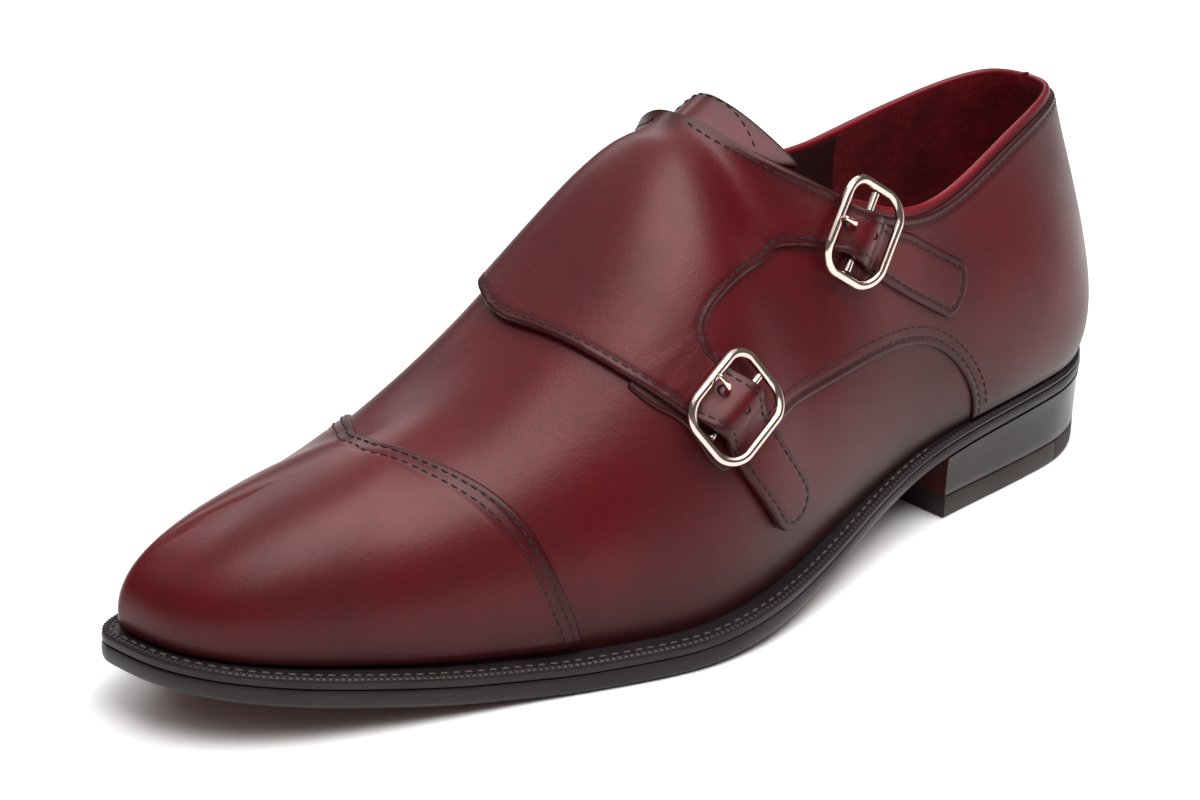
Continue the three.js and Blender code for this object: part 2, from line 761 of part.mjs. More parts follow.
// Outline of one strap in (t, w): the toe-side edge out to the tip and the other edge back.
function strapOutline(strap) {
  const knots = strap.path.map(row);
  const half = strap.width / 2;
  const front = [];
  const rear = [];
  const metric = (t, w) => {
    const p = lastPoint(t, w);
    return [
      add([0, 0, 0], sub(lastPoint(t + 0.002, w), p), 500),
      add([0, 0, 0], sub(lastPoint(t, w - 0.004), p), -250),
    ];
  };
  const curve = new THREE.CatmullRomCurve3(
    knots.map((k) => new THREE.Vector3(k[0], k[1], 0)),
    false,
    "centripetal",
  );
  const total = length(sub(lastPoint(...knots[1]), lastPoint(...knots[knots.length - 1])));
  for (const s of [0.16, 0.27, 0.38, 0.52, 0.66, 0.8, 0.88, 0.94, 0.98, 1]) {
    const p = curve.getPoint(s);
    const d = curve.getTangent(s);
    const [pt, pw] = metric(p.x, p.y);
    const ahead = add(add([0, 0, 0], pt, d.x), pw, d.y);
    const n = lastNormal(p.x, p.y);
    const aside = unit(cross(n, ahead));
    // aside written in the surface's own two directions
    const g11 = dot(pt, pt);
    const g12 = dot(pt, pw);
    const g22 = dot(pw, pw);
    const b1 = dot(aside, pt);
    const b2 = dot(aside, pw);
    const det = g11 * g22 - g12 * g12;
    const ut = (b1 * g22 - b2 * g12) / det;
    const uw = (b2 * g11 - b1 * g12) / det;
    const toTip = (1 - s) * total * 1.3;
    const r = toTip < half ? Math.sqrt(Math.max(0, half * half - (half - toTip) ** 2)) : half;
    rear.unshift([p.x + ut * r, p.y + uw * r]);
    if (r > 0.4) front.push([p.x - ut * r, p.y - uw * r]);
  }
  return { front, rear };
}

const flap = (() => {
  const [upperStrap, lowerStrap] = STRAPS.map(strapOutline);
  const edge = 0.996;
  return [
    // rear edge from the upper strap up to the instep
    [FLAP_REAR_OUTER, edge],
    [0.45, edge],
    [0.497, edge],
    [0.508, 1],
    // and down along the inner side
    [0.497, 2 - edge],
    [0.44, 2 - edge],
    [FLAP_REAR_INNER, 2 - edge],
    ...FLAP_SEAM.map(row).reverse(),
    ...crossEdge(FLAP_FRONT, 1.826, 0.414, 22),
    ...lowerStrap.front,
    ...lowerStrap.rear,
    ...FLAP_CUT.map(row).reverse(),
    ...upperStrap.front.slice(2),
    ...upperStrap.rear.filter((p) => p[1] < edge - 0.02),
  ];
})();

// A closed rod of round section through given points, with flat ends unless it is a loop.
function rod(points, radius, sides, loop, flatten = 1, upAt = null) {
  const vertices = [];
  const faces = [];
  const n = points.length;
  points.forEach((p, i) => {
    const a = loop ? points[(i + n - 1) % n] : points[Math.max(0, i - 1)];
    const b = loop ? points[(i + 1) % n] : points[Math.min(n - 1, i + 1)];
    const d = unit(sub(b, a));
    const u = unit(cross(d, upAt));
    const v = cross(u, d);
    for (let k = 0; k < sides; k++) {
      const angle = (2 * Math.PI * k) / sides;
      vertices.push(
        add(
          add(p, u, radius * Math.cos(angle)),
          v,
          radius * flatten * Math.sin(angle),
        ),
      );
    }
  });
  const rings = loop ? n : n - 1;
  for (let i = 0; i < rings; i++)
    for (let k = 0; k < sides; k++) {
      const a = i * sides + k;
      const b = i * sides + ((k + 1) % sides);
      const c = ((i + 1) % n) * sides + k;
      const d = ((i + 1) % n) * sides + ((k + 1) % sides);
      faces.push([a, b, d], [a, d, c]);
    }
  if (!loop)
    for (let k = 1; k < sides - 1; k++) {
      faces.push([0, k + 1, k]);
      const e = (n - 1) * sides;
      faces.push([e, e + k, e + k + 1]);
    }
  return geometry(vertices, faces);
}

function buckle(strap) {
  const f = strap.frame;
  const loop = [];
  const r = FRAME_CORNER;
  const hx = FRAME_ALONG / 2 - FRAME_WIRE;
  const hy = FRAME_ACROSS / 2 - FRAME_WIRE;
  for (let q = 0; q < 4; q++)
    for (let k = 0; k <= 4; k++) {
      const angle = ((q + k / 4) * Math.PI) / 2;
      const sx = q === 0 || q === 3 ? 1 : -1;
      const sy = q < 2 ? 1 : -1;
      const a = sx * (hx - r) + r * Math.cos(angle);
      const c = sy * (hy - r) + r * Math.sin(angle);
      loop.push(place(f, a, c, FRAME_HEIGHT - (c * c) / 90));
    }
  const frame = rod(loop, FRAME_WIRE, 8, true, 1, f.up);
  const barEnd = hy - FRAME_WIRE - GAP;
  const bar = rod(
    [-1, -0.5, 0, 0.5, 1].map((k) => place(f, 0, k * barEnd, BAR_HEIGHT)),
    BAR_WIRE,
    8,
    false,
    1,
    f.up,
  );
  // the prong leaves the bar under the strap, comes up through its hole and lies on the rim
  const rimTop = FRAME_HEIGHT + FRAME_WIRE + PRONG_WIRE + GAP + 0.1;
  const prongPath = [
    [-2.3, 2.8],
    [-3.5, 3.0],
    [-4.7, 4.3],
    [-5.9, 6.0],
    [-7.6, rimTop],
    [-hx - 0.6, rimTop],
  ];
  const prong = rod(
    prongPath.map(([a, h]) => place(f, a, 0, h)),
    PRONG_WIRE,
    8,
    false,
    1,
    f.across,
  );
  const hole = rod(
    [
      [-2.6, 1.3],
      [-6.6, 7.0],
    ].map(([a, h]) => place(f, a, 0, h)),
    1.75,
    10,
    false,
    1,
    f.across,
  );
  return { frame, bar, prong, hole };
}

const buckles = STRAPS.map(buckle);

const strapFlap = (() => {
  // the lines of t fall on the upper's own ribs, with more of them across the buckles
  const linesT = [
    ...lines(12, 16, 4),
    ...lines(16.5, 17.5, 4),
    ...lines(18, 23, 5),
    ...lines(23.5, 25, 3),
    ...lines(26, 31, 5),
  ].map((k) => k / RIB_COLUMNS);
  const linesW = [
    ...lines(0.1, 0.25, 3),
    ...lines(0.28, 0.5, 8),
    ...lines(0.55, 0.75, 4),
    ...lines(0.79, 1, 5),
    ...lines(1.06, 1.84, 13),
  ];
  // the leather bridges the hollow that runs down the inner side from the top of the instep
  const bridge = (t, w) =>
    Math.max(0, 1 - ((t - 0.47) / 0.08) ** 2) * Math.max(0, 1 - ((w - 1.4) / 0.4) ** 2);
  const lift = (t, w) => overBar(t, w) + HOLLOW_LIFT * bridge(t, w);
  const g = panel([flap], FLAP_GAP, FLAP_THICK, linesT, linesW, lift);
  let solid = toManifold(g);
  for (const b of buckles) solid = solid.subtract(toManifold(b.hole));
  return fromManifold(solid);
})();

// ---- the scene graph --------------------------------------------------------------------
const LEATHER = { color: 0x5e1620, roughness: 0.42, metalness: 0 };
const MATERIALS = {
  outsole: { color: 0x2c2226, roughness: 0.5, metalness: 0 },
  welt: { color: 0x241b1d, roughness: 0.6, metalness: 0 },
  insole: { color: 0x4a1a1c, roughness: 0.8, metalness: 0 },
  heel: { color: 0x252126, roughness: 0.4, metalness: 0 },
  rubber: { color: 0x2a2424, roughness: 0.8, metalness: 0 },
  metal: { color: 0xd8c4b8, roughness: 0.18, metalness: 1 },
};

const shoe = new THREE.Group();
shoe.name = "monk_strap_shoe";
function piece(name, geometryOf, look) {
  const mesh = new THREE.Mesh(geometryOf, new THREE.MeshStandardMaterial(look));
  mesh.name = name;
  shoe.add(mesh);
  return mesh;
}

piece("outsole", outsole, MATERIALS.outsole);
piece("welt", welt, MATERIALS.welt);
piece("insole", insole, MATERIALS.insole);
piece("heel_stack", heelStack, MATERIALS.heel);
piece("heel_top_piece_leather", leatherTopPiece, MATERIALS.heel);
piece("heel_top_piece_rubber", rubberTopPiece, MATERIALS.rubber);
piece("upper", upper, LEATHER);
piece("toe_cap", toeCap, LEATHER);
piece("tongue", tongue, LEATHER);
piece("strap_flap", strapFlap, LEATHER);
STRAPS.forEach((strap, i) => {
  piece("buckle_" + strap.name + "_frame", buckles[i].frame, MATERIALS.metal);
  piece("buckle_" + strap.name + "_bar", buckles[i].bar, MATERIALS.metal);
  piece("buckle_" + strap.name + "_prong", buckles[i].prong, MATERIALS.metal);
});

shoe.rotation.z = (LONG_AXIS_TURN * Math.PI) / 180;
shoe.updateMatrixWorld(true);
const box = new THREE.Box3();
for (const mesh of shoe.children)
  box.union(
    new THREE.Box3().setFromBufferAttribute(
      mesh.geometry.clone().applyMatrix4(mesh.matrixWorld).attributes.position,
    ),
  );
shoe.position.set(-(box.min.x + box.max.x) / 2, -(box.min.y + box.max.y) / 2, -box.min.z);

export default shoe;
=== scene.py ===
"""The look of a left double monk strap shoe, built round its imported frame."""

import math

import bmesh
import bpy
import numpy as np
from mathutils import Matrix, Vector, geometry, kdtree
from mathutils.bvhtree import BVHTree


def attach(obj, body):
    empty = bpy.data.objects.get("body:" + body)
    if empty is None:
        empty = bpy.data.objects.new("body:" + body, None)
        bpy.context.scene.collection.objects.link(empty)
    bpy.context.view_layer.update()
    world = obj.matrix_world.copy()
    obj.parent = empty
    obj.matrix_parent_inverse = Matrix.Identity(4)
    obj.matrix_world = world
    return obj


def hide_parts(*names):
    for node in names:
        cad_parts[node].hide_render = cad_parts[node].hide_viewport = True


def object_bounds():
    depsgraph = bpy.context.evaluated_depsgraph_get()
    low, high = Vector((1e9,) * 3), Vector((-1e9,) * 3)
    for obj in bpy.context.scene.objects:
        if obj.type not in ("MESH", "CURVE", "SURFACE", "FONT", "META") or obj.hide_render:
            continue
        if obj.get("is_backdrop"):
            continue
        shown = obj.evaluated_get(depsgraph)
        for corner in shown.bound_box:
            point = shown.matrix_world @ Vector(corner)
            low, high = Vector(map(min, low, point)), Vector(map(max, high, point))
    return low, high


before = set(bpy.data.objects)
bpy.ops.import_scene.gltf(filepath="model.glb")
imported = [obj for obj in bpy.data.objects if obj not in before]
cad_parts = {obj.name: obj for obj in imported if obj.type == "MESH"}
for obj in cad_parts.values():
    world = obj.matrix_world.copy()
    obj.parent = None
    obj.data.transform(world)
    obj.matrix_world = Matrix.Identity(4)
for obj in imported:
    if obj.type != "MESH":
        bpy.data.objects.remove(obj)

bl_info = {
    "name": "Double monk strap shoe",
    "version": (1, 0, 0),
    "blender": (4, 5, 0),
    "location": "3D View > Sidebar > Shoe",
    "description": "Builds the leather, stitching, sole and buckles of a left monk strap shoe",
    "category": "Object",
}

CAD_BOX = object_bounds()
BODY = "root"


def hex_colour(code):
    """An sRGB hex colour as linear red, green, blue."""
    parts = [int(code[i : i + 2], 16) / 255 for i in (1, 3, 5)]
    return tuple(c / 12.92 if c <= 0.04045 else ((c + 0.055) / 1.055) ** 2.4 for c in parts)


# ---- driving sizes, in millimetres along the heel's own axis --------------------------------
# turn and shift from the heel's axis to the frame's: the shoe's long axis, middle and floor
LONG_AXIS_TURN = math.radians(5)
SHIFT = (-153.084, -13.915)
# the sole's outline is rounded at the heel and the toe, and its toe swings inwards
SOLE_LENGTH = 306
HEEL_CURVE, HEEL_POWER = 36, 2.2
TOE_START, TOE_POWER_OUTER, TOE_POWER_INNER = 225, 3.0, 2.3
TOE_SWING, SWING_START = -34, 120
# share of the foot line where the topline reaches the ridge, and the ridge's two ends
CREST_AT, CREST_X, RIDGE_END = 0.5, 146, 276
RIDGE_END_SLOPE = -0.38
# thickness of each layer, and how far the undersides of the quarter and the flap are off the last
WALL = 2.0
QUARTER_THICK, CAP_THICK, FLAP_THICK, TONGUE_THICK, TAB_THICK = 1.0, 1.1, 1.9, 1.8, 1.0
QUARTER_LIFT, FLAP_LIFT = 0.02, 0.9
EDGE_ROUNDING = 0.8
INSOLE_RISE = 2.6
TOP_PIECE, HEEL_BREAST, RUBBER_END = 6.2, 82, 31
# distance of the stitches from a leather edge: first row and second row, and those of the toe cap
STITCHES, SECOND_STITCHES = 2.1, 4.7
CAP_STITCHES = (1.8, 4.3)


def table(names, *rows):
    """Columns of numbers by name."""
    return dict(zip(names.split(), np.array(rows, float).T))


# half widths of the sole from its middle line
OUTLINE = table(
    "x outer inner",
    (0, 30.5, 31.8),
    (45, 34.8, 33.0),
    (100, 37.3, 28.5),
    (140, 46.2, 31.5),
    (185, 53.1, 43.5),
    (225, 44.0, 46.0),
    (262, 39.0, 40.0),
    (306, 40.0, 22.0),
)
# height of the underside, thickness of outsole and welt, and the welt's width past the upper
SOLE = table(
    "x under outsole welt margin",
    (0, 22.0, 3.6, 2.0, 2.2),
    (60, 19.6, 3.6, 2.0, 2.4),
    (84, 17.6, 3.6, 2.0, 3.0),
    (110, 13.2, 3.7, 2.2, 3.9),
    (140, 7.0, 4.2, 2.6, 5.7),
    (170, 1.8, 5.0, 3.2, 6.3),
    (195, 0.0, 5.0, 3.2, 6.5),
    (216, 0.0, 5.0, 3.2, 6.7),
    (240, 2.0, 5.0, 3.2, 6.9),
    (270, 7.2, 5.0, 3.2, 7.0),
    (306, 14.3, 5.0, 3.2, 5.8),
)
# top of the last from the collar's front corner to the toe
RIDGE = table(
    "x y z",
    (146, -8.0, 120.5),
    (156, -8.0, 114.5),
    (170, -8.2, 102.5),
    (184, -8.6, 89.5),
    (198, -9.5, 77.0),
    (212, -11.0, 66.5),
    (226, -13.0, 59.5),
    (240, -15.5, 56.0),
    (254, -19.0, 53.2),
    (266, -22.5, 50.3),
    (276, -26.0, 46.5),
)
# the collar's edge on both sides, from the back seam to its front corner
TOPLINE_OUTER = table(
    "at x y z",
    (0.0, 9, 0.0, 99.0),
    (0.12, 14, 11.0, 99.3),
    (0.24, 29, 18.5, 98.3),
    (0.38, 47, 22.5, 95.0),
    (0.52, 66, 24.8, 89.3),
    (0.66, 86, 26.0, 86.3),
    (0.78, 106, 26.3, 92.0),
    (0.9, 128, 18.5, 106.0),
    (1.0, 146, -8.0, 120.5),
)
TOPLINE_INNER = table(
    "at x y z",
    (0.0, 9, 0.0, 99.0),
    (0.12, 13, -12.0, 98.5),
    (0.24, 26, -20.0, 95.5),
    (0.38, 42, -24.5, 92.0),
    (0.52, 60, -26.5, 89.0),
    (0.66, 82, -28.0, 87.5),
    (0.78, 106, -31.0, 92.0),
    (0.9, 134, -26.0, 109.0),
    (1.0, 146, -8.0, 120.5),
)
# each rib is a curve from the foot line to the crest with two handles: the lower one's outward
# lean and rise, and the upper one's inward reach, drop and outward bulge
RIBS = table(
    "x lean_outer lean_inner rise reach drop bulge",
    (0, 10, 10, 0.3, 0, 0.3, 5),
    (40, 9, 8, 0.3, 0, 0.3, 4),
    (80, 5, 2, 0.31, 0, 0.3, 3),
    (110, 5, 1, 0.32, 0.05, 0.3, 3),
    (140, 8, 3, 0.34, 0.25, 0.22, 4),
    (165, 8, 6, 0.37, 0.45, 0.08, 4),
    (190, 7, 6, 0.42, 0.5, 0.02, 2),
    (225, 5, 5, 0.5, 0.55, 0, 0),
    (260, 4, 4, 0.55, 0.6, 0, 0),
    (285, 3, 3, 0.6, 0.62, 0, 0),
    (306, 3, 3, 0.62, 0.62, 0, 0),
)
# how far up the last the vamp goes: it stops short of the ridge under the flap
THROAT = table(
    "t top",
    (0.0, 1.0),
    (0.37, 1.0),
    (0.41, 0.95),
    (0.45, 0.86),
    (0.5, 0.77),
    (0.54, 0.78),
    (0.58, 0.82),
    (0.61, 0.89),
    (0.635, 1.0),
    (1.0, 1.0),
)
# Edges on the last. t runs along the foot line from heel to toe, w from the outer foot line (0)
# over the ridge (1) to the inner foot line (2). Those that cross the ridge give x at each w.
CAP_SEAM = table(
    "w x",
    (0.0, 214),
    (0.16, 219.2),
    (0.36, 224),
    (0.6, 230),
    (0.8, 234.5),
    (1.0, 238.5),
    (1.1, 238.5),
    (1.27, 233),
    (1.5, 223.5),
    (1.7, 213),
    (1.82, 205.5),
    (2.0, 197),
)
FLAP_FRONT = table(
    "w x",
    (0.414, 183),
    (0.5, 188.5),
    (0.6, 193),
    (0.72, 196),
    (0.86, 197.8),
    (1.0, 198.5),
    (1.1, 197.6),
    (1.246, 193),
    (1.34, 188.5),
    (1.434, 182),
    (1.56, 170.5),
    (1.685, 155),
    (1.826, 141),
)
INNER_SEAM = [
    (0.473, 1.826),
    (0.455, 1.794),
    (0.428, 1.734),
    (0.392, 1.63),
    (0.368, 1.592),
    (0.35, 1.6),
    (0.337, 1.655),
    (0.328, 1.74),
    (0.32, 1.87),
    (0.319, 1.985),
]
OUTER_SEAM = [
    (0.556, 0.288),
    (0.524, 0.3),
    (0.498, 0.329),
    (0.463, 0.363),
    (0.427, 0.409),
    (0.39, 0.452),
    (0.366, 0.455),
    (0.347, 0.42),
    (0.333, 0.339),
    (0.325, 0.232),
    (0.321, 0.129),
    (0.319, 0.015),
]
QUARTER_LIP = [(0.606, 0.538), (0.592, 0.463), (0.576, 0.4), (0.564, 0.318), (0.556, 0.288)]
# the outer quarter's edge under the flap, and the flap's edge between its two straps
QUARTER_HIDDEN = [(0.42, 0.93), (0.45, 0.86), (0.5, 0.79), (0.55, 0.78), (0.58, 0.72), (0.6, 0.57)]
FLAP_CUT = [
    (0.413, 0.779),
    (0.43, 0.758),
    (0.447, 0.722),
    (0.465, 0.675),
    (0.492, 0.606),
    (0.531, 0.577),
    (0.548, 0.56),
    (0.555, 0.535),
    (0.553, 0.5),
]
# how close an edge comes to the ridge or collar, and to the foot line, as a share of w
RIDGE_EDGE, COLLAR_EDGE, FOOT_EDGE = 0.994, 0.978, 0.015
FLAP_REAR_OUTER, COLLAR_END = 0.407, 0.43
# where each strap crosses its buckle's bar, its middle line, and how deep its folds are
STRAP_WIDTH = 15.5
UPPER_STRAP = {
    "bar": (0.3935, 0.875),
    "path": [(0.43, 0.893), (0.3935, 0.875), (0.342, 0.757), (0.313, 0.64), (0.31, 0.565)],
    "folds": 1.0,
}
LOWER_STRAP = {
    "bar": (0.5465, 0.389),
    "path": [(0.565, 0.475), (0.5465, 0.389), (0.5255, 0.27), (0.507, 0.18), (0.5, 0.122)],
    "folds": 0.35,
}
# how high a strap rides over its bar and how far from it, and the folds where it leaves the flap:
# place along the strap, depth and slant
SWELL, SWELL_REACH = 4.1, 8
FOLDS = ((-13.5, 0.4, 0.15), (-16.6, 0.32, -0.1), (-20.5, 0.25, 0.2))
# the tongue's front edge as a share t and a half width, how far its root spreads back down the
# sides, and the length and direction of the end that stands behind the flap
TONGUE_FRONT, TONGUE_HALF, TONGUE_SPREAD = 0.611, 22, 0.072
TONGUE_LENGTH, TONGUE_HEADING = 14.5, (-0.91, 0, 0.46)
# buckles: outer size and corner radius of a frame, radius of each rod, and heights over the last
FRAME_ALONG, FRAME_ACROSS, FRAME_CORNER = 22, 26.5, 5.6
FRAME_WIRE, BAR_WIRE, PRONG_WIRE = 1.25, 1.0, 0.85
FRAME_HEIGHT, BAR_HEIGHT = 4.7, 2.8


# ---- small mathematics ----------------------------------------------------------------------
def unit(v):
    """Vectors made one long."""
    return v / np.maximum(np.linalg.norm(v, axis=-1, keepdims=True), 1e-12)


def dot(a, b):
    """Dot product that keeps its axis."""
    return np.sum(a * b, -1, keepdims=True)


def bump(x, width):
    """A soft hill, 1 high at 0."""
    return np.exp(-((x / width) ** 2))


def ramp(x, start, end):
    """From 0 at the start to 1 at the end, level at both."""
    u = np.clip((x - start) / (end - start), 0, 1)
    return u * u * (3 - 2 * u)


def spline(tab, key, column, x):
    """A natural cubic spline through one column of a table."""
    xs, ys = tab[key], tab[column]
    n, h = len(xs), np.diff(xs)
    system, right = np.eye(n), np.zeros(n)
    for i in range(1, n - 1):
        system[i, i - 1 : i + 2] = h[i - 1], 2 * (h[i - 1] + h[i]), h[i]
        right[i] = 6 * ((ys[i + 1] - ys[i]) / h[i] - (ys[i] - ys[i - 1]) / h[i - 1])
    m = np.linalg.solve(system, right)
    x = np.clip(x, xs[0], xs[-1])
    i = np.clip(np.searchsorted(xs, x) - 1, 0, n - 2)
    b = (x - xs[i]) / h[i]
    a = 1 - b
    return a * ys[i] + b * ys[i + 1] + ((a**3 - a) * m[i] + (b**3 - b) * m[i + 1]) * h[i] ** 2 / 6


def smooth(tab, key, column, x):
    """A smooth curve through one column that never overshoots a row."""
    xs, ys = tab[key], tab[column]
    n, h = len(xs), np.diff(xs)
    s = np.diff(ys) / h
    d = np.concatenate([s[:1], np.zeros(n - 2), s[-1:]])
    same = s[:-1] * s[1:] > 0
    d[1:-1][same] = (2 * s[:-1] * s[1:])[same] / (s[:-1] + s[1:])[same]
    x = np.clip(x, xs[0], xs[-1])
    i = np.clip(np.searchsorted(xs, x) - 1, 0, n - 2)
    u = (x - xs[i]) / h[i]
    return (
        ys[i] * (2 * u**3 - 3 * u**2 + 1)
        + d[i] * h[i] * (u**3 - 2 * u**2 + u)
        + ys[i + 1] * (3 * u**2 - 2 * u**3)
        + d[i + 1] * h[i] * (u**3 - u**2)
    )


def rounding(d):
    """From 0 on a leather's rim to 1 at EDGE_ROUNDING from it, along a quarter circle."""
    return np.sqrt(1 - (1 - np.clip(d / EDGE_ROUNDING, 0, 1)) ** 2)


def through(points, n):
    """n points along a smooth curve through the given ones."""
    p = np.array(points, float)
    at = np.concatenate([[0], np.cumsum(np.linalg.norm(np.diff(p, axis=0), axis=1) ** 0.5)])
    tab = {"at": at, "a": p[:, 0], "b": p[:, 1]}
    s = np.linspace(0, at[-1], n)
    return np.stack([spline(tab, "at", "a", s), spline(tab, "at", "b", s)], -1)


# ---- the last and the sole's outline --------------------------------------------------------
def sole_x(t):
    """Distance from the heel at a share t of the foot line, with more stations at both ends."""
    return SOLE_LENGTH * (1 - np.cos(np.pi * t)) / 2


def sole_t(x):
    """The share t at a distance from the heel."""
    return math.acos(1 - 2 * x / SOLE_LENGTH) / math.pi


def middle(x):
    """Sideways place of the sole's middle line."""
    return TOE_SWING * np.maximum(0, (x - SWING_START) / (SOLE_LENGTH - SWING_START)) ** 2


def sole_edge(side, t):
    """Edge of the sole on one side (1 is the outer one) at t along it."""
    x = sole_x(t)
    half = np.where(side > 0, spline(OUTLINE, "x", "outer", x), spline(OUTLINE, "x", "inner", x))
    power = np.where(side > 0, TOE_POWER_OUTER, TOE_POWER_INNER)
    back = np.clip(1 - x / HEEL_CURVE, 0, 1)
    front = np.clip((x - TOE_START) / (SOLE_LENGTH - TOE_START), 0, 1)
    half = half * (1 - back**HEEL_POWER) ** (1 / HEEL_POWER)
    half = half * np.maximum(0, 1 - front**power) ** (1 / power)
    return np.stack([x, middle(x) + side * half, 0 * x], -1)


def edge_normal(side, t):
    """Outward direction of the sole's edge."""
    e = np.clip(np.minimum(0.004, np.minimum(t, 1 - t)), 1e-6, None)
    d = sole_edge(side, np.minimum(t + e, 1)) - sole_edge(side, np.maximum(t - e, 0))
    n = unit(np.stack([-d[..., 1] * side, d[..., 0] * side, 0 * d[..., 0]], -1))
    n = np.where((t < 1e-5)[..., None], [-1.0, 0, 0], n)
    return np.where((t > 1 - 1e-5)[..., None], [1.0, 0, 0], n)


def inset_edge(side, t, by):
    """The sole's edge moved inwards by one distance, or by one for each point."""
    by = np.broadcast_to(np.asarray(by, float), np.shape(t))
    return sole_edge(side, t) - edge_normal(side, t) * by[..., None]


def around(n):
    """Stations round the outline: outer side to the toe, then inner side back to the heel."""
    t = np.concatenate([np.arange(n), np.arange(n, 0, -1)]) / n
    return np.concatenate([np.ones(n), -np.ones(n)]), t


def margin(x):
    """How far the welt stands out past the upper."""
    return smooth(SOLE, "x", "margin", x)


def under(x):
    """Height of the sole's underside."""
    return np.maximum(0, smooth(SOLE, "x", "under", x))


def outsole_top(x):
    """Height of the outsole's top."""
    return under(x) + smooth(SOLE, "x", "outsole", x)


def welt_top(x):
    """Height of the welt's top, the foot line of the last."""
    return outsole_top(x) + smooth(SOLE, "x", "welt", x)


def slow_start(u):
    """Shares of 0 to 1 that lie closer together near 0."""
    return u * u * 1.07 / (u + 0.07)


def crest(side, t):
    """Point on the topline or, past CREST_AT, on the ridge."""
    at = 1 - slow_start(np.clip(1 - t / CREST_AT, 0, 1))
    outer = np.stack([spline(TOPLINE_OUTER, "at", c, at) for c in "xyz"], -1)
    inner = np.stack([spline(TOPLINE_INNER, "at", c, at) for c in "xyz"], -1)
    topline = np.where((side > 0)[..., None], outer, inner)
    u = slow_start(np.clip((t - CREST_AT) / (1 - CREST_AT), 0, 1))
    x = CREST_X + (RIDGE_END - CREST_X) * (1 - (1 - u) ** 1.25)
    ridge = np.stack([x, smooth(RIDGE, "x", "y", x), smooth(RIDGE, "x", "z", x)], -1)
    return np.where((t <= CREST_AT)[..., None], topline, ridge)


def rib(side, t, v):
    """Point on the last: v runs from the foot line (0) to the crest (1)."""
    n = edge_normal(side, t)
    foot = inset_edge(side, t, margin(sole_x(t)))
    x = foot[..., 0]
    foot[..., 2] = welt_top(x)
    top = crest(side, t)
    h = top[..., 2] - foot[..., 2]

    def shape(column):
        return smooth(RIBS, "x", column, x)

    low = foot + n * np.where(side > 0, shape("lean_outer"), shape("lean_inner"))[..., None]
    low[..., 2] += shape("rise") * h
    high = top + (foot - top) * shape("reach")[..., None] + n * shape("bulge")[..., None]
    high[..., 2] = top[..., 2] - shape("drop") * h
    tx = top[..., 0]
    rise = (smooth(RIDGE, "x", "z", tx + 1) - smooth(RIDGE, "x", "z", tx - 1)) / 2
    slope = np.where(tx < RIDGE_END - 1, rise, RIDGE_END_SLOPE)
    fade = np.clip((t - CREST_AT) / 0.12, 0, 1)
    high[..., 2] += slope * (high[..., 0] - tx) * fade
    v = v[..., None]
    a = 1 - v
    return foot * a**3 + 3 * a * a * v * low + 3 * a * v * v * high + v**3 * top


# stations of the last along the foot line and up each rib, and the passes that smooth it
GRID_T, GRID_V, SMOOTHING_PASSES = 480, 160, 130


def stretched_surface():
    """The last as leather pulled over it takes it: its corners over the instep rounded off.

    The outer side and the inner side, each a grid with more rows and columns past its edges, so
    that a cubic curve runs on smoothly round the heel and the toe and over the ridge."""
    t, v = np.meshgrid(np.linspace(0, 1, GRID_T + 1), np.linspace(0, 1, GRID_V + 1), indexing="ij")
    both = np.concatenate([rib(1 + 0 * t, t, v), rib(-1 + 0 * t, t, v)[:, ::-1]], 1)
    rows, columns = t[:, 0], np.arange(both.shape[1]) - GRID_V - 0.5
    height = 1 - np.abs(columns) / GRID_V
    along = ramp(rows, 0.42, 0.47)[:, None] * ramp(height, 0.1, 0.45)[None]
    across = (ramp(rows, 0.474, 0.505) * ramp(rows, 0.93, 0.84))[:, None] * bump(columns, 26)[None]
    for _ in range(SMOOTHING_PASSES):
        after = np.concatenate([both[2:], both[-2:-1, ::-1]])
        both[1:] += along[1:, :, None] * (both[:-1] - 2 * both[1:] + after) / 4
        both[:, 1:-1] += across[:, 1:-1, None] * (both[:, :-2] - 2 * both[:, 1:-1] + both[:, 2:]) / 4
        crest_rows = both[GRID_T // 2 :, GRID_V : GRID_V + 2]
        crest_rows[:] = crest_rows.mean(1, keepdims=True)
    sides = [both[:, : GRID_V + 1], both[:, GRID_V + 1 :][:, ::-1]]
    closed = (np.arange(GRID_T + 1) >= GRID_T // 2)[:, None, None]
    wide = []
    for one, other in (sides, sides[::-1]):
        low = [3 * one[:, :1] - 2 * one[:, 1:2], 2 * one[:, :1] - one[:, 1:2]]
        high = [2 * one[:, -1:] - one[:, -2:-1], 3 * one[:, -1:] - 2 * one[:, -2:-1]]
        high = [np.where(closed, other[:, -2:-1], high[0]), np.where(closed, other[:, -3:-2], high[1])]
        wide.append(np.concatenate([*low, one, *high], 1))
    grids = [np.concatenate([b[2:0:-1], a, b[-2:-4:-1]]) for a, b in (wide, wide[::-1])]
    return np.array(grids)


SURFACE = stretched_surface()


def cubic_weights(f):
    """Shares of four neighbouring points in a cubic curve, at f between the middle two."""
    before = (-f + 2 * f * f - f**3) / 2
    low, high = 1 - 2.5 * f * f + 1.5 * f**3, (f + 4 * f * f - 3 * f**3) / 2
    return before, low, high, (f**3 - f * f) / 2


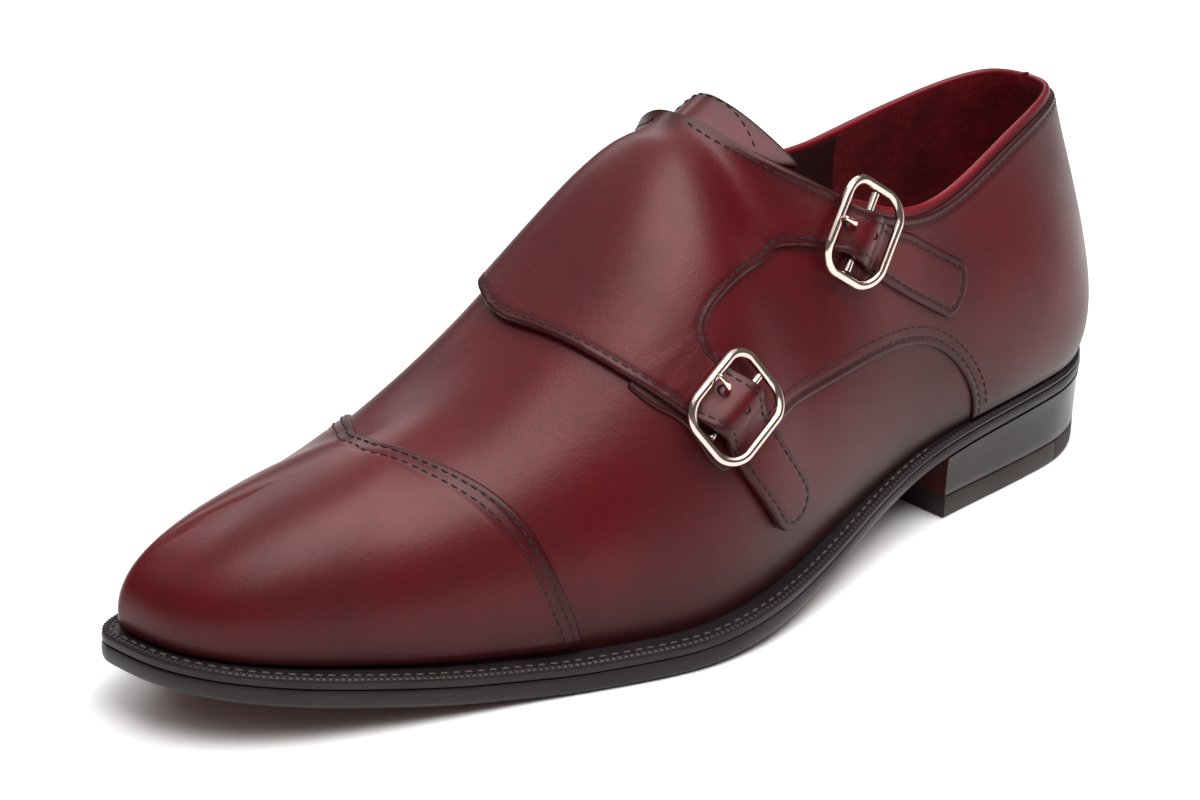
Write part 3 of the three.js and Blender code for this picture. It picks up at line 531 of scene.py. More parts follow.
def on_surface(side, t, v):
    """Point of the stretched surface, by cubic interpolation of its grid."""
    shape = np.shape(t)
    side, a, b = (np.ravel(q) for q in (np.where(side > 0, 0, 1), t * GRID_T, v * GRID_V))
    i, j = np.clip(a.astype(int), 0, GRID_T - 1), np.clip(b.astype(int), 0, GRID_V - 1)
    wa, wb = cubic_weights(a - i), cubic_weights(b - j)
    around_it = [(m, n) for m in range(4) for n in range(4)]
    p = sum(SURFACE[side, i + 1 + m, j + 1 + n] * (wa[m] * wb[n])[:, None] for m, n in around_it)
    return p.reshape(*shape, 3)


def last(t, w):
    """Point of the last, with t and w running on round the toe and the heel and over the ridge."""
    t, w = np.broadcast_arrays(np.asarray(t, float), np.asarray(w, float))
    w = np.where((t > 1) | (t < 0), 2 - w, w)
    t = np.where(t > 1, 2 - t, np.abs(t))
    return on_surface(np.where(w <= 1, 1.0, -1.0), t, np.where(w <= 1, w, 2 - w))


def last_normal(t, w):
    """Outward direction of the last, which doesn't reach over the open collar."""
    t, w = np.broadcast_arrays(np.asarray(t, float), np.asarray(w, float))
    t = np.where((t > 0.985) & (abs(w - 1) < 0.02), 0.985, t)
    low, high = np.maximum(0, w - 0.012), np.minimum(2, w + 0.012)
    free = np.abs(t) < CREST_AT
    high = np.where(free & (w <= 1), np.minimum(0.999999, high), high)
    low = np.where(free & (w > 1), np.maximum(1.000001, low), low)
    up = last(t, high) - last(t, low)
    along = last(t + 0.004, w) - last(t - 0.004, w)
    return unit(np.cross(up, along))


def off_last(t, w, h):
    """Point at a height over the last."""
    return last(t, w) + last_normal(t, w) * np.asarray(h, float)[..., None]


def cross_edge(tab, start, end, n):
    """Points along an edge that crosses the ridge, from one w to another."""
    w = np.linspace(start, end, n)
    x = smooth(tab, "w", "x", w)
    low, high = np.full(n, 0.3), np.ones(n)
    for _ in range(30):
        mid = (low + high) / 2
        short = last(mid, w)[:, 0] < x
        low, high = np.where(short, mid, low), np.where(short, high, mid)
    return np.stack([(low + high) / 2, w], -1)


def steps(t, w):
    """The last's two directions at each point, a unit of t and a unit of w."""
    p = last(t, w)
    sign = np.where(np.abs(w - 1) < 0.02, np.where(w <= 1, -1, 1), 1)
    dt = (last(t + 0.002, w) - p) / 0.002
    dw = (last(t, w + 0.004 * sign) - p) / (0.004 * sign[..., None])
    return dt, dw


def shifted(tw, direction, distance):
    """Points moved over the last by a distance along a direction that lies in it."""
    t, w = tw[..., 0], tw[..., 1]
    dt, dw = steps(t, w)
    g11, g12, g22 = dot(dt, dt), dot(dt, dw), dot(dw, dw)
    b1, b2 = dot(direction, dt), dot(direction, dw)
    det = np.maximum(g11 * g22 - g12 * g12, 1e-6)
    move = np.concatenate([b1 * g22 - b2 * g12, b2 * g11 - b1 * g12], -1) / det
    return tw + move * np.asarray(distance, float).reshape(-1, 1)


def bar_frame(strap):
    """Place and directions of a buckle: up from the foot, along its strap and across it."""
    (t, w), path = strap["bar"], strap["path"]
    origin = last(t, w)
    up = last_normal(t, w)
    along = last(*path[2]) - last(*path[0])
    along = unit(along - up * dot(along, up))
    return {"origin": origin, "up": up, "along": along, "across": np.cross(up, along)}


for strap in (UPPER_STRAP, LOWER_STRAP):
    strap["frame"] = bar_frame(strap)


def strap_outline(strap):
    """Outline of a strap: its toe-side edge out to the tip, and its other edge back."""
    half, path = STRAP_WIDTH / 2, strap["path"]
    total = float(np.linalg.norm(last(*path[1]) - last(*path[-1])))
    share = np.concatenate([np.linspace(0.16, 0.84, 24), 1 - 0.16 * np.linspace(1, 0, 14)[1:] ** 2])
    middle_line = through(path, 401)
    # the last part of the strap runs straight over the leather
    bend = 240
    onward = last(*middle_line[bend + 25]) - last(*middle_line[bend - 25])
    step = np.linalg.norm(last(*middle_line[-1]) - last(*middle_line[bend])) / (400 - bend)
    for i in range(bend, 400):
        normal = last_normal(*middle_line[i])
        ahead = unit(onward - normal * dot(onward, normal))
        middle_line[i + 1] = shifted(middle_line[i][None], ahead[None], step)[0]
    at = (share * 400).astype(int)
    tw = middle_line[at]
    turn = middle_line[np.minimum(at + 4, 400)] - middle_line[at - 4]
    dt, dw = steps(tw[:, 0], tw[:, 1])
    ahead = unit(dt * turn[:, :1] + dw * turn[:, 1:])
    aside = unit(np.cross(last_normal(tw[:, 0], tw[:, 1]), ahead))
    to_tip = (1 - share) * total * 1.3
    reach = np.where(to_tip < half, np.sqrt(np.maximum(0, half**2 - (half - to_tip) ** 2)), half)
    front = shifted(tw, -aside, reach)[reach > 0.4]
    return front, shifted(tw, aside, reach)[::-1]


# ---- heights of the leather over the last ---------------------------------------------------
def over_bar(along):
    """How far a strap rises over its buckle's bar, at a distance along it."""
    return SWELL * np.cos(np.pi / 2 * np.clip(np.abs(along) / SWELL_REACH, 0, 1)) ** 1.6


def flap_height(t, w):
    """Underside of the flap: it lies on the quarters, rides over both bars and is creased.

    On the inner side it comes down to the last, where it is the quarter itself."""
    p = last(t, w)
    rise = np.zeros(len(p))
    for strap in (UPPER_STRAP, LOWER_STRAP):
        f = strap["frame"]
        d = p - f["origin"]
        along, across = (d @ f["along"]).ravel(), (d @ f["across"]).ravel()
        near = np.linalg.norm(d, axis=1) < 2 * SWELL_REACH
        rise = np.maximum(rise, np.where(near, over_bar(along), 0))
        for place, depth, slant in FOLDS:
            depth, at = depth * strap["folds"], along - place - slant * across
            rise += depth * (0.5 * bump(at - 1.6, 1.0) - bump(at, 0.9)) * bump(across, 11)
    flat = ramp(w, 1.1, 1.3) * ramp(t, 0.47, 0.37)
    return (FLAP_LIFT + rise) * (1 - flat) + QUARTER_LIFT * flat


def quarter_height(t, w):
    """Underside of the outer quarter."""
    return np.full(len(t), QUARTER_LIFT)


def tab_height(t, w):
    """Underside of the back tab, pressed a little into the quarters."""
    return np.full(len(t), QUARTER_THICK - 0.3)


# ---- making meshes --------------------------------------------------------------------------
def to_row(p):
    """Millimetres along the heel's axis to metres in the row's frame."""
    p = np.asarray(p, float)
    c, s = math.cos(LONG_AXIS_TURN), math.sin(LONG_AXIS_TURN)
    x = p[..., 0] * c - p[..., 1] * s + SHIFT[0]
    y = p[..., 0] * s + p[..., 1] * c + SHIFT[1]
    return np.stack([x, y, p[..., 2]], -1) / 1000


# points of a finished mesh closer than this are one
MERGED = 0.004


def make(name, points, faces, materials, slots=None, values=None, sharp=40):
    """A closed piece from points in millimetres; values are number attributes of its points."""
    mesh = bpy.data.meshes.new(name)
    mesh.from_pydata(to_row(points).tolist(), [], [tuple(int(i) for i in f) for f in faces])
    for material in materials:
        mesh.materials.append(material)
    if slots is not None:
        mesh.polygons.foreach_set("material_index", np.asarray(slots, np.int32))
    for key, value in (values or {}).items():
        attribute = mesh.attributes.new(key, "FLOAT", "POINT")
        attribute.data.foreach_set("value", np.asarray(value, np.float32))
    work = bmesh.new()
    work.from_mesh(mesh)
    bmesh.ops.remove_doubles(work, verts=work.verts, dist=MERGED / 1000)
    bmesh.ops.dissolve_degenerate(work, edges=work.edges, dist=1e-7)
    bmesh.ops.recalc_face_normals(work, faces=work.faces)
    work.to_mesh(mesh)
    work.free()
    mesh.shade_smooth()
    mesh.set_sharp_from_angle(angle=math.radians(sharp))
    made = bpy.data.objects.new(name, mesh)
    bpy.context.scene.collection.objects.link(made)
    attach(made, BODY)
    return made


def grid_faces(rows, columns, close_rows=False, close_columns=False, start=0):
    """Faces of a grid of points, closed into a ring either way if asked."""
    faces = []
    for i in range(rows if close_rows else rows - 1):
        for j in range(columns if close_columns else columns - 1):
            a, b = start + i * columns, start + (i + 1) % rows * columns
            k = (j + 1) % columns
            faces.append((a + j, b + j, b + k, a + k))
    return faces


def point_tree(points):
    """A search tree of points."""
    tree = kdtree.KDTree(len(points))
    for i, p in enumerate(points):
        tree.insert(p, i)
    tree.balance()
    return tree


def distance_to(tree, tw):
    """How far each point on the last is from the nearest one in a tree."""
    return np.array([tree.find(p)[2] for p in last(tw[:, 0], tw[:, 1])])


def free_edges(faces):
    """Edges that only one face has, each with that face's number."""
    edges = {(a, b): k for k, f in enumerate(faces) for a, b in zip(f, f[1:] + f[:1])}
    return {(a, b): k for (a, b), k in edges.items() if (b, a) not in edges}


def resampled(tw, spacing):
    """A closed outline with points added so that none are further apart than the spacing, and
    the number of the given point that each one follows."""
    nxt = np.roll(tw, -1, axis=0)
    gap = np.linalg.norm(last(nxt[:, 0], nxt[:, 1]) - last(tw[:, 0], tw[:, 1]), axis=1)
    out, owner = [], []
    for i in range(len(tw)):
        n = max(1, int(math.ceil(gap[i] / spacing)))
        out += [tw[i] + (nxt[i] - tw[i]) * k / n for k in range(n)]
        owner += [i] * n
    return np.array(out), np.array(owner)


def inward(tw):
    """Direction over the last from each outline point towards the inside of the outline."""
    p = last(tw[:, 0], tw[:, 1])
    n = last_normal(tw[:, 0], tw[:, 1])
    ahead = unit(np.roll(p, -1, axis=0) - np.roll(p, 1, axis=0))
    side = unit(np.cross(n, ahead))
    area = np.sum(tw[:, 0] * np.roll(tw[:, 1], -1) - np.roll(tw[:, 0], -1) * tw[:, 1])
    # on the last, +t by +w turns against the normal
    return side * (-1 if area > 0 else 1)


def inside(tw, outline):
    """Which points lie inside a closed outline."""
    x, y = tw[:, 0], tw[:, 1]
    hit = np.zeros(len(tw), bool)
    px, py = outline[:, 0], outline[:, 1]
    qx, qy = np.roll(px, -1), np.roll(py, -1)
    for a, b, c, d in zip(px, py, qx, qy):
        if b != d:
            hit ^= ((b > y) != (d > y)) & (x < (c - a) * (y - b) / (d - b) + a)
    return hit


# distances from a panel's rim of the rows of points that carry its rounded edge and its channel,
# and the millimetres to a unit of t and of w where a panel is meshed flat
RINGS = (0.22, 0.5, 0.85, 1.5, 2.1, 2.7, 3.7)
RIM_SPACING, FIELD_SPACING = 1.1, 1.6
FLAT_SCALE = (480, 105)


def relaxed(sheets, faces, centre, radius, passes):
    """Sheets eased together round a place, as leather eases where it can't follow a corner."""
    pairs = {(a, b) for f in faces for a, b in zip(f, f[1:] + f[:1])}
    free = [(a, b) for a, b in pairs if (b, a) not in pairs]
    on_edge = np.zeros(len(sheets[0]), bool)
    on_edge[np.array(free)] = True
    # a point of the rim follows only its neighbours along the rim
    links = [(a, b) for a, b in pairs if not on_edge[a]] + [(b, a) for a, b in pairs if not on_edge[b]]
    links = np.array(links + free + [(b, a) for a, b in free])
    count = np.bincount(links[:, 0], minlength=len(sheets[0]))[:, None]
    pull = bump(np.linalg.norm(sheets[0] - centre, axis=1), radius)[:, None] * 0.5
    out = []
    for p in sheets:
        for _ in range(passes):
            mean = np.stack([np.bincount(links[:, 0], p[links[:, 1], k], len(p)) for k in range(3)], -1)
            p = p + (mean / np.maximum(count, 1) - p) * pull
        out.append(p)
    return out


def panel_mesh(outline):
    """Points and triangles inside a closed outline on the last, and how far each is from the rim."""
    rim, _ = resampled(np.array(outline, float), RIM_SPACING)
    into = inward(rim)
    tree = point_tree(last(rim[:, 0], rim[:, 1]))
    rings = [rim]
    for d in RINGS:
        ring = shifted(rim, into, d)
        ring = ring[inside(ring, rim)]
        rings.append(ring[distance_to(tree, ring) > 0.86 * d])
    (t0, w0), (t1, w1) = rim.min(0), rim.max(0)
    nt, nw = (int(s * k / FIELD_SPACING) for s, k in zip((t1 - t0, w1 - w0), FLAT_SCALE))
    tt, ww = np.meshgrid(np.linspace(t0, t1, nt + 1), np.linspace(w0, w1, nw + 1), indexing="ij")
    ww[::2] += 0.5 * (w1 - w0) / nw
    field = np.stack([tt.ravel(), ww.ravel()], -1)
    field = field[inside(field, rim)]
    field = field[distance_to(tree, field) > RINGS[-1] + 0.6 * FIELD_SPACING]
    flat = [Vector(p) for p in np.concatenate([*rings, field]) * FLAT_SCALE]
    cut = geometry.delaunay_2d_cdt(flat, [], [list(range(len(rim)))], 1, 1e-5, True)
    tw = np.array(cut[0], float) / FLAT_SCALE
    faces = [tuple(f) for f in cut[2]]
    within = inside(np.array([tw[list(f)].mean(0) for f in faces]), rim)
    faces = [f for f, keep in zip(faces, within) if keep]
    used = sorted({i for f in faces for i in f})
    number = {old: new for new, old in enumerate(used)}
    tw, faces = tw[used], [tuple(number[i] for i in f) for f in faces]
    d = distance_to(tree, tw)
    d[[any(k < len(rim) for k in cut[3][i]) for i in used]] = 0
    return tw, faces, d


def panel(name, outline, height, thick, channel=(STITCHES,), ease=None):
    """A piece of leather with a rounded edge, lying on the last inside a closed outline."""
    tw, faces, d = panel_mesh(outline)
    sunk = sum(0.16 * bump(d - c, 0.5) for c in channel)
    base = height(tw[:, 0], tw[:, 1])
    top = off_last(tw[:, 0], tw[:, 1], base + thick * (0.5 + 0.5 * rounding(d)) - sunk)
    low = off_last(tw[:, 0], tw[:, 1], base)
    if ease:
        top, low = relaxed((top, low), faces, *ease)
    n = len(tw)
    shell = faces + [tuple(i + n for i in reversed(f)) for f in faces]
    shell += [(b, a, a + n, b + n) for a, b in free_edges(faces)]
    # shade attribute: burnished darker near the welt, painted shade at the heel and low on the sides at the
    # waist
    values = {"rim": np.concatenate([d, d * 0]), "shade": np.tile(patina_and_painted_shade(tw[:, 0], tw[:, 1]), 2)}
    return make(name, np.concatenate([top, low]), shell, [upper_leather()], values=values, sharp=55)


def patina_and_painted_shade(t, w):
    """How much darker the leather is made: burnished darker near the welt and the toe's rim, and painted
    shade over the heel and low on the sides at the waist.
    """
    v = np.where(w <= 1, w, 2 - w)
    # near the welt the leather is burnished darker; the heel's darkening and the waist's, low on the sides,
    # are painted shade
    foot = bump(v, 0.13)
    heel = bump(np.minimum(np.abs(t), 1), 0.16) * 0.5
    waist = bump(t - 0.36, 0.1) * bump(v - 0.25, 0.3) * 0.5
    return np.clip(foot * 0.8 + heel + waist, 0, 1)


def solid_sheet(name, out, normals, faces, wall, materials, slots_of=None, values=None, rim=1.0, **more):
    """A closed shell of one thickness under a sheet, its free edges rounded and drawn out by rim."""
    n = len(out)
    slot = slots_of or (lambda face, where: 0)
    free = free_edges(faces)
    away = np.zeros((n, 3))
    for (a, b), k in free.items():
        along = unit(out[b] - out[a])
        v = (out[a] + out[b]) / 2 - out[list(faces[k])].mean(0)
        v = v - along * (v @ along)
        normal = (normals[a] + normals[b]) / 2
        v = unit(v - normal * (v @ normal))
        away[a] += v
        away[b] += v
    away = unit(away)
    points = [out, out - normals * wall]
    shell = faces + [tuple(i + n for i in reversed(f)) for f in faces]
    slots = [slot(f, "out") for f in faces] + [slot(f, "in") for f in faces]
    arc = np.linspace(0, math.pi, 7)[1:-1, None]
    ids, start = {}, 2 * n
    for i in sorted({i for edge in free for i in edge}):
        centre = out[i] - normals[i] * wall / 2
        points.append(centre + wall / 2 * (normals[i] * np.cos(arc) + away[i] * rim * np.sin(arc)))
        ids[i] = [i, *range(start, start + len(arc)), i + n]
        start += len(arc)
    for a, b in free:
        shell += [(ids[b][j], ids[a][j], ids[a][j + 1], ids[b][j + 1]) for j in range(len(arc) + 1)]
        slots += [slot((a, b), "rim")] * (len(arc) + 1)
    spread = {}
    for key, value in (values or {}).items():
        spread[key] = np.concatenate([value, value, *(np.full(len(arc), value[i]) for i in ids)])
    return make(name, np.concatenate(points), shell, materials, slots, spread, **more)


def welded(points, faces):
    """A sheet's faces with points that nearly touch made one, and faces that vanish left out."""
    tree, nearly = point_tree(points), 0.03
    index = [min(k for _, k, _ in tree.find_range(p, nearly)) for p in points]
    out = []
    for f in faces:
        g = [index[i] for i in f]
        g = [a for k, a in enumerate(g) if a != g[k - 1]]
        if len(set(g)) > 2:
            out.append(tuple(g))
    return out


# ---- materials ------------------------------------------------------------------------------
def fill(tree, node, inputs):
    """Sets a node's inputs to values, or links them from other nodes' sockets."""
    for key, value in inputs.items():
        if isinstance(value, bpy.types.NodeSocket):
            tree.links.new(value, node.inputs[key])
        else:
            node.inputs[key].default_value = value


def add(tree, kind, inputs, **settings):
    """Adds one node with its settings and its inputs."""
    node = tree.nodes.new(kind)
    for key, value in settings.items():
        setattr(node, key, value)
    fill(tree, node, inputs)
    return node


def darker(colour, share):
    """A colour with only a share of its light."""
    return [c * share for c in colour[:3]]


def made_once(recipe):
    """Turns a recipe of nodes into a material that is made once and found again by its name."""

    def found(name, *colours, **sizes):
        material = bpy.data.materials.get(name)
        if material is None:
            material = bpy.data.materials.new(name)
            material.use_nodes = True
            tree = material.node_tree
            shader = tree.nodes["Principled BSDF"]
            where = add(tree, "ShaderNodeTexCoord", {}).outputs["Object"]
            recipe(tree, shader, where, *[(*c[:3], 1.0) for c in colours], **sizes)
        return material

    return found


@made_once
def calf_leather(tree, shader, where, colour, dark, grain_depth=0.00006, roughness=0.38):
    """Burnished calf: waxed and brushed, so broad soft highlights lie over a fine grain, with cloudy darker
    colour worked in near the edges and the welt, and painted shade wherever the shade attribute asks for it."""
    cloud = add(tree, "ShaderNodeTexNoise", {"Vector": where, "Scale": 28, "Detail": 3, "Roughness": 0.55})
    speck = add(tree, "ShaderNodeTexNoise", {"Vector": where, "Scale": 420, "Detail": 2})
    rim = add(tree, "ShaderNodeAttribute", {}, attribute_name="rim").outputs["Fac"]
    shade = add(tree, "ShaderNodeAttribute", {}, attribute_name="shade").outputs["Fac"]
    clouds = add(tree, "ShaderNodeMapRange", {0: cloud.outputs[0], 1: 0.35, 2: 0.7, 3: 0.0, 4: 0.45})
    edge = add(tree, "ShaderNodeMapRange", {0: rim, 1: 0.2, 2: 4.5, 3: 0.75, 4: 0.0})
    specks = add(tree, "ShaderNodeMapRange", {0: speck.outputs[0], 1: 0.4, 2: 0.75, 3: 0.0, 4: 0.22})
    # the shade attribute mixes in the dark colour: burnished darker near the welt, painted shade at the heel
    # and low on the sides at the waist
    tone = colour
    for share in (clouds.outputs[0], edge.outputs[0], shade, specks.outputs[0]):
        tone = add(tree, "ShaderNodeMix", {0: share, 6: tone, 7: dark}, data_type="RGBA").outputs[2]
    # grain cells about 0.7 mm across, over wrinkles of a few millimetres
    grain = {"Vector": where, "Scale": 1300, "Randomness": 1.0}
    cells = add(tree, "ShaderNodeTexVoronoi", grain, feature="SMOOTH_F1").outputs["Distance"]
    wrinkle = add(tree, "ShaderNodeTexNoise", {"Vector": where, "Scale": 260, "Detail": 4, "Roughness": 0.6})
    total = add(tree, "ShaderNodeMath", {0: cells, 1: wrinkle.outputs[0]}, operation="ADD")
    pressed = {"Height": total.outputs[0], "Strength": 0.55, "Distance": grain_depth}
    relief = add(tree, "ShaderNodeBump", pressed)
    gloss = {0: cloud.outputs[0], 1: 0.3, 2: 0.7, 3: roughness - 0.05, 4: roughness + 0.08}
    rough = add(tree, "ShaderNodeMapRange", gloss).outputs[0]
    fill(tree, shader, {"Base Color": tone, "Roughness": rough, "Normal": relief.outputs[0]})
    fill(tree, shader, {"Specular IOR Level": 0.34, "Specular Tint": (1.0, 0.68, 0.66, 1.0)})
    fill(tree, shader, {"Coat Weight": 0.08, "Coat Roughness": 0.28})


@made_once
def suede_lining(tree, shader, where, colour, dark):
    """Brushed split leather: short fibres in random patches, coloured lighter where the nap stands up as a
    painted sheen and darker in its hollows as painted shade.
    """
    nap = add(tree, "ShaderNodeTexNoise", {"Vector": where, "Scale": 520, "Detail": 6, "Roughness": 0.75})
    patch = add(tree, "ShaderNodeTexNoise", {"Vector": where, "Scale": 90, "Detail": 3})
    both = add(tree, "ShaderNodeMath", {0: nap.outputs[0], 1: patch.outputs[0]}, operation="MULTIPLY")
    # lighter on the raised nap and darker in its hollows: painted sheen and painted shade, in random patches
    share = add(tree, "ShaderNodeMapRange", {0: both.outputs[0], 1: 0.15, 2: 0.38, 3: 1.0, 4: 0.0}).outputs[0]
    tone = add(tree, "ShaderNodeMix", {0: share, 6: colour, 7: dark}, data_type="RGBA").outputs[2]
    relief = add(tree, "ShaderNodeBump", {"Height": nap.outputs[0], "Strength": 0.9, "Distance": 0.0005})
    fill(tree, shader, {"Base Color": tone, "Roughness": 0.95, "Normal": relief.outputs[0]})
    fill(tree, shader, {"Specular IOR Level": 0.15, "Sheen Weight": 0.35, "Sheen Roughness": 0.5})
    fill(tree, shader, {"Sheen Tint": (0.55, 0.1, 0.1, 1.0)})


@made_once
def smooth_lining(tree, shader, where, colour, dark):
    """Plain vegetable-tanned lining: matt, faintly mottled."""
    cloud = add(tree, "ShaderNodeTexNoise", {"Vector": where, "Scale": 60, "Detail": 4})
    share = add(tree, "ShaderNodeMapRange", {0: cloud.outputs[0], 1: 0.3, 2: 0.7, 3: 0.0, 4: 0.8}).outputs[0]
    tone = add(tree, "ShaderNodeMix", {0: share, 6: colour, 7: dark}, data_type="RGBA").outputs[2]
    grain = add(tree, "ShaderNodeTexNoise", {"Vector": where, "Scale": 900, "Detail": 2})
    relief = add(tree, "ShaderNodeBump", {"Height": grain.outputs[0], "Strength": 0.3, "Distance": 0.0001})
    fill(tree, shader, {"Base Color": tone, "Roughness": 0.6, "Normal": relief.outputs[0]})


@made_once
def waxed_edge(tree, shader, where, colour, dark, lift_mm, roughness=0.33):
    """Trimmed, dyed and waxed sole leather: satin, with the layers just showing as thin lines."""
    level = add(tree, "ShaderNodeSeparateXYZ", {0: where}).outputs[2]
    lifts = add(tree, "ShaderNodeMath", {0: level, 1: 1000 / lift_mm}, operation="MULTIPLY")
    saw = add(tree, "ShaderNodeMath", {0: lifts.outputs[0], 1: 1.0}, operation="PINGPONG").outputs[0]
    line = add(tree, "ShaderNodeMapRange", {0: saw, 1: 0.0, 2: 0.07, 3: 1.0, 4: 0.0}).outputs[0]
    fibre = add(tree, "ShaderNodeMapping", {0: where, "Scale": (60, 60, 900)})
    streak = add(tree, "ShaderNodeTexNoise", {"Vector": fibre.outputs[0], "Scale": 1, "Detail": 4}).outputs[0]
    cloud = add(tree, "ShaderNodeTexNoise", {"Vector": where, "Scale": 45, "Detail": 3}).outputs[0]
    streaks = add(tree, "ShaderNodeMapRange", {0: streak, 1: 0.35, 2: 0.7, 3: 0.0, 4: 0.6}).outputs[0]
    wear = add(tree, "ShaderNodeMapRange", {0: cloud, 1: 0.45, 2: 0.7, 3: 0.0, 4: 0.35}).outputs[0]
    tone = colour
    for share, other in ((streaks, dark), (wear, dark), (line, (*darker(dark, 0.4), 1.0))):
        tone = add(tree, "ShaderNodeMix", {0: share, 6: tone, 7: other}, data_type="RGBA").outputs[2]
    height = add(tree, "ShaderNodeMath", {0: streak, 1: line}, operation="SUBTRACT")
    relief = add(tree, "ShaderNodeBump", {"Height": height.outputs[0], "Strength": 0.35, "Distance": 0.0001})
    gloss = {0: cloud, 1: 0.3, 2: 0.7, 3: roughness, 4: roughness + 0.15}
    rough = add(tree, "ShaderNodeMapRange", gloss).outputs[0]
    fill(tree, shader, {"Base Color": tone, "Roughness": rough, "Normal": relief.outputs[0]})
    fill(tree, shader, {"Specular IOR Level": 0.4, "Specular Tint": (0.75, 0.66, 0.64, 1.0)})


@made_once
def moulded_rubber(tree, shader, where, colour, dark):
    """Moulded heel rubber: dark and matt, with a fine pebbled skin."""
    cells = add(tree, "ShaderNodeTexNoise", {"Vector": where, "Scale": 1500, "Detail": 2}).outputs[0]
    share = add(tree, "ShaderNodeMapRange", {0: cells, 1: 0.3, 2: 0.7, 3: 0.0, 4: 0.5}).outputs[0]
    tone = add(tree, "ShaderNodeMix", {0: share, 6: colour, 7: dark}, data_type="RGBA").outputs[2]
    relief = add(tree, "ShaderNodeBump", {"Height": cells, "Strength": 0.4, "Distance": 0.0001})
    fill(tree, shader, {"Base Color": tone, "Roughness": 0.75, "Normal": relief.outputs[0]})


@made_once
def polished_nickel(tree, shader, where, colour, dark):
    """Plated and polished cast metal: mirror bright, with faint handling marks."""
    marks = add(tree, "ShaderNodeTexNoise", {"Vector": where, "Scale": 700, "Detail": 3}).outputs[0]
    share = add(tree, "ShaderNodeMapRange", {0: marks, 1: 0.35, 2: 0.75, 3: 0.0, 4: 0.3}).outputs[0]
    tone = add(tree, "ShaderNodeMix", {0: share, 6: colour, 7: dark}, data_type="RGBA").outputs[2]
    rough = add(tree, "ShaderNodeMapRange", {0: marks, 1: 0.3, 2: 0.8, 3: 0.1, 4: 0.2}).outputs[0]
    fill(tree, shader, {"Base Color": tone, "Metallic": 1.0, "Roughness": rough})


@made_once
def waxed_thread(tree, shader, where, colour, dark):
    """Twisted, waxed linen thread: dull, with the twist as fine diagonal lines."""
    turned = add(tree, "ShaderNodeMapping", {0: where, "Rotation": (0.6, 0.5, 0.7)}).outputs[0]
    twist = add(tree, "ShaderNodeTexWave", {"Vector": turned, "Scale": 900, "Distortion": 1}).outputs["Fac"]
    tone = add(tree, "ShaderNodeMix", {0: twist, 6: colour, 7: dark}, data_type="RGBA").outputs[2]
    relief = add(tree, "ShaderNodeBump", {"Height": twist, "Strength": 0.4, "Distance": 0.0001})
    fill(tree, shader, {"Base Color": tone, "Roughness": 0.7, "Normal": relief.outputs[0]})


@made_once
def studio_paper(tree, shader, where, pale, paler):
    """Seamless white background paper: matt and even."""
    fibre = add(tree, "ShaderNodeTexNoise", {"Vector": where, "Scale": 30, "Detail": 2}).outputs[0]
    tone = add(tree, "ShaderNodeMix", {0: fibre, 6: pale, 7: paler}, data_type="RGBA").outputs[2]
    fill(tree, shader, {"Base Color": tone, "Roughness": 0.9})


def sizes():
    return bpy.context.scene.shoe_sizes


def colours():
    return bpy.context.scene.shoe_colours


def upper_leather():
    return calf_leather("burnished_calf", colours().leather, colours().leather_dark)


def binding_leather():
    red = colours().binding
    return calf_leather("red_calf_binding", red, darker(red, 0.45), grain_depth=0.00003)


def sole_edge_leather():
    return waxed_edge("waxed_sole_edge", colours().sole_edge, colours().sole_dark, lift_mm=60)


# ---- sizes and colours ----------------------------------------------------------------------
def colour_property(name, code, what):
    """A colour that can be changed, with a hex default."""
    return bpy.props.FloatVectorProperty(
        name=name, description=what, default=hex_colour(code), subtype="COLOR", min=0, max=1
    )


def length_property(name, value_mm, what):
    """A length that can be changed, given in millimetres and kept in metres."""
    limits = {"min": 0.00005, "max": 0.05, "precision": 5}
    return bpy.props.FloatProperty(
        name=name, description=what, default=value_mm / 1000, unit="LENGTH", **limits
    )


class ShoeSizes(bpy.types.PropertyGroup):
    """Sizes of the shoe's repeated and added details."""

    pitch: length_property("Stitch pitch", 2.7, "Distance between the upper's stitches")
    stitch: length_property("Stitch length", 1.9, "Length of one stitch of the upper")
    thread: length_property("Thread width", 0.55, "Width of the upper's thread")
    welt_pitch: length_property("Welt stitch pitch", 3.1, "Distance between the welt's stitches")
    welt_stitch: length_property("Welt stitch length", 2.1, "Length of one stitch of the welt")
    welt_thread: length_property("Welt thread width", 0.8, "Width of the welt's thread")
    wheel_pitch: length_property("Wheel mark pitch", 1.55, "Distance between the welt's wheel marks")
    lens: bpy.props.FloatProperty(
        name="Lens", description="Focal length of the camera in millimetres", default=101, min=20, max=300
    )


class ShoeColours(bpy.types.PropertyGroup):
    """Colours of the shoe's leathers, thread and metal."""

    leather: colour_property("Leather", "#520611", "Upper's calf leather")
    # the dark leather is also the colour of the painted shade at the heel and low on the sides at the waist
    leather_dark: colour_property("Dark leather", "#1d0408", "Patina worked into the upper")
    binding: colour_property("Binding", "#74101c", "Rolled edge of the collar")
    suede: colour_property("Heel lining", "#7a1420", "Suede lining of the heel")
    lining: colour_property("Lining", "#3f1216", "Smooth lining of the front")
    sole_edge: colour_property("Sole edge", "#241e22", "Waxed edge of the sole and heel")
    sole_dark: colour_property("Dark sole edge", "#120e11", "Darker streaks of the sole's edge")
    underside: colour_property("Underside", "#55261f", "Leather of the sole's underside")
    metal: colour_property("Buckles", "#ead2c6", "Warm nickel of the buckles")
    thread: colour_property("Thread", "#1e060a", "Upper's thread")
    welt_thread: colour_property("Welt thread", "#54423a", "Welt's thread")


# ---- the upper ------------------------------------------------------------------------------
def claimed(node):
    """The finished piece stands for a node, whose imported part is hidden."""
    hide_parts(node)


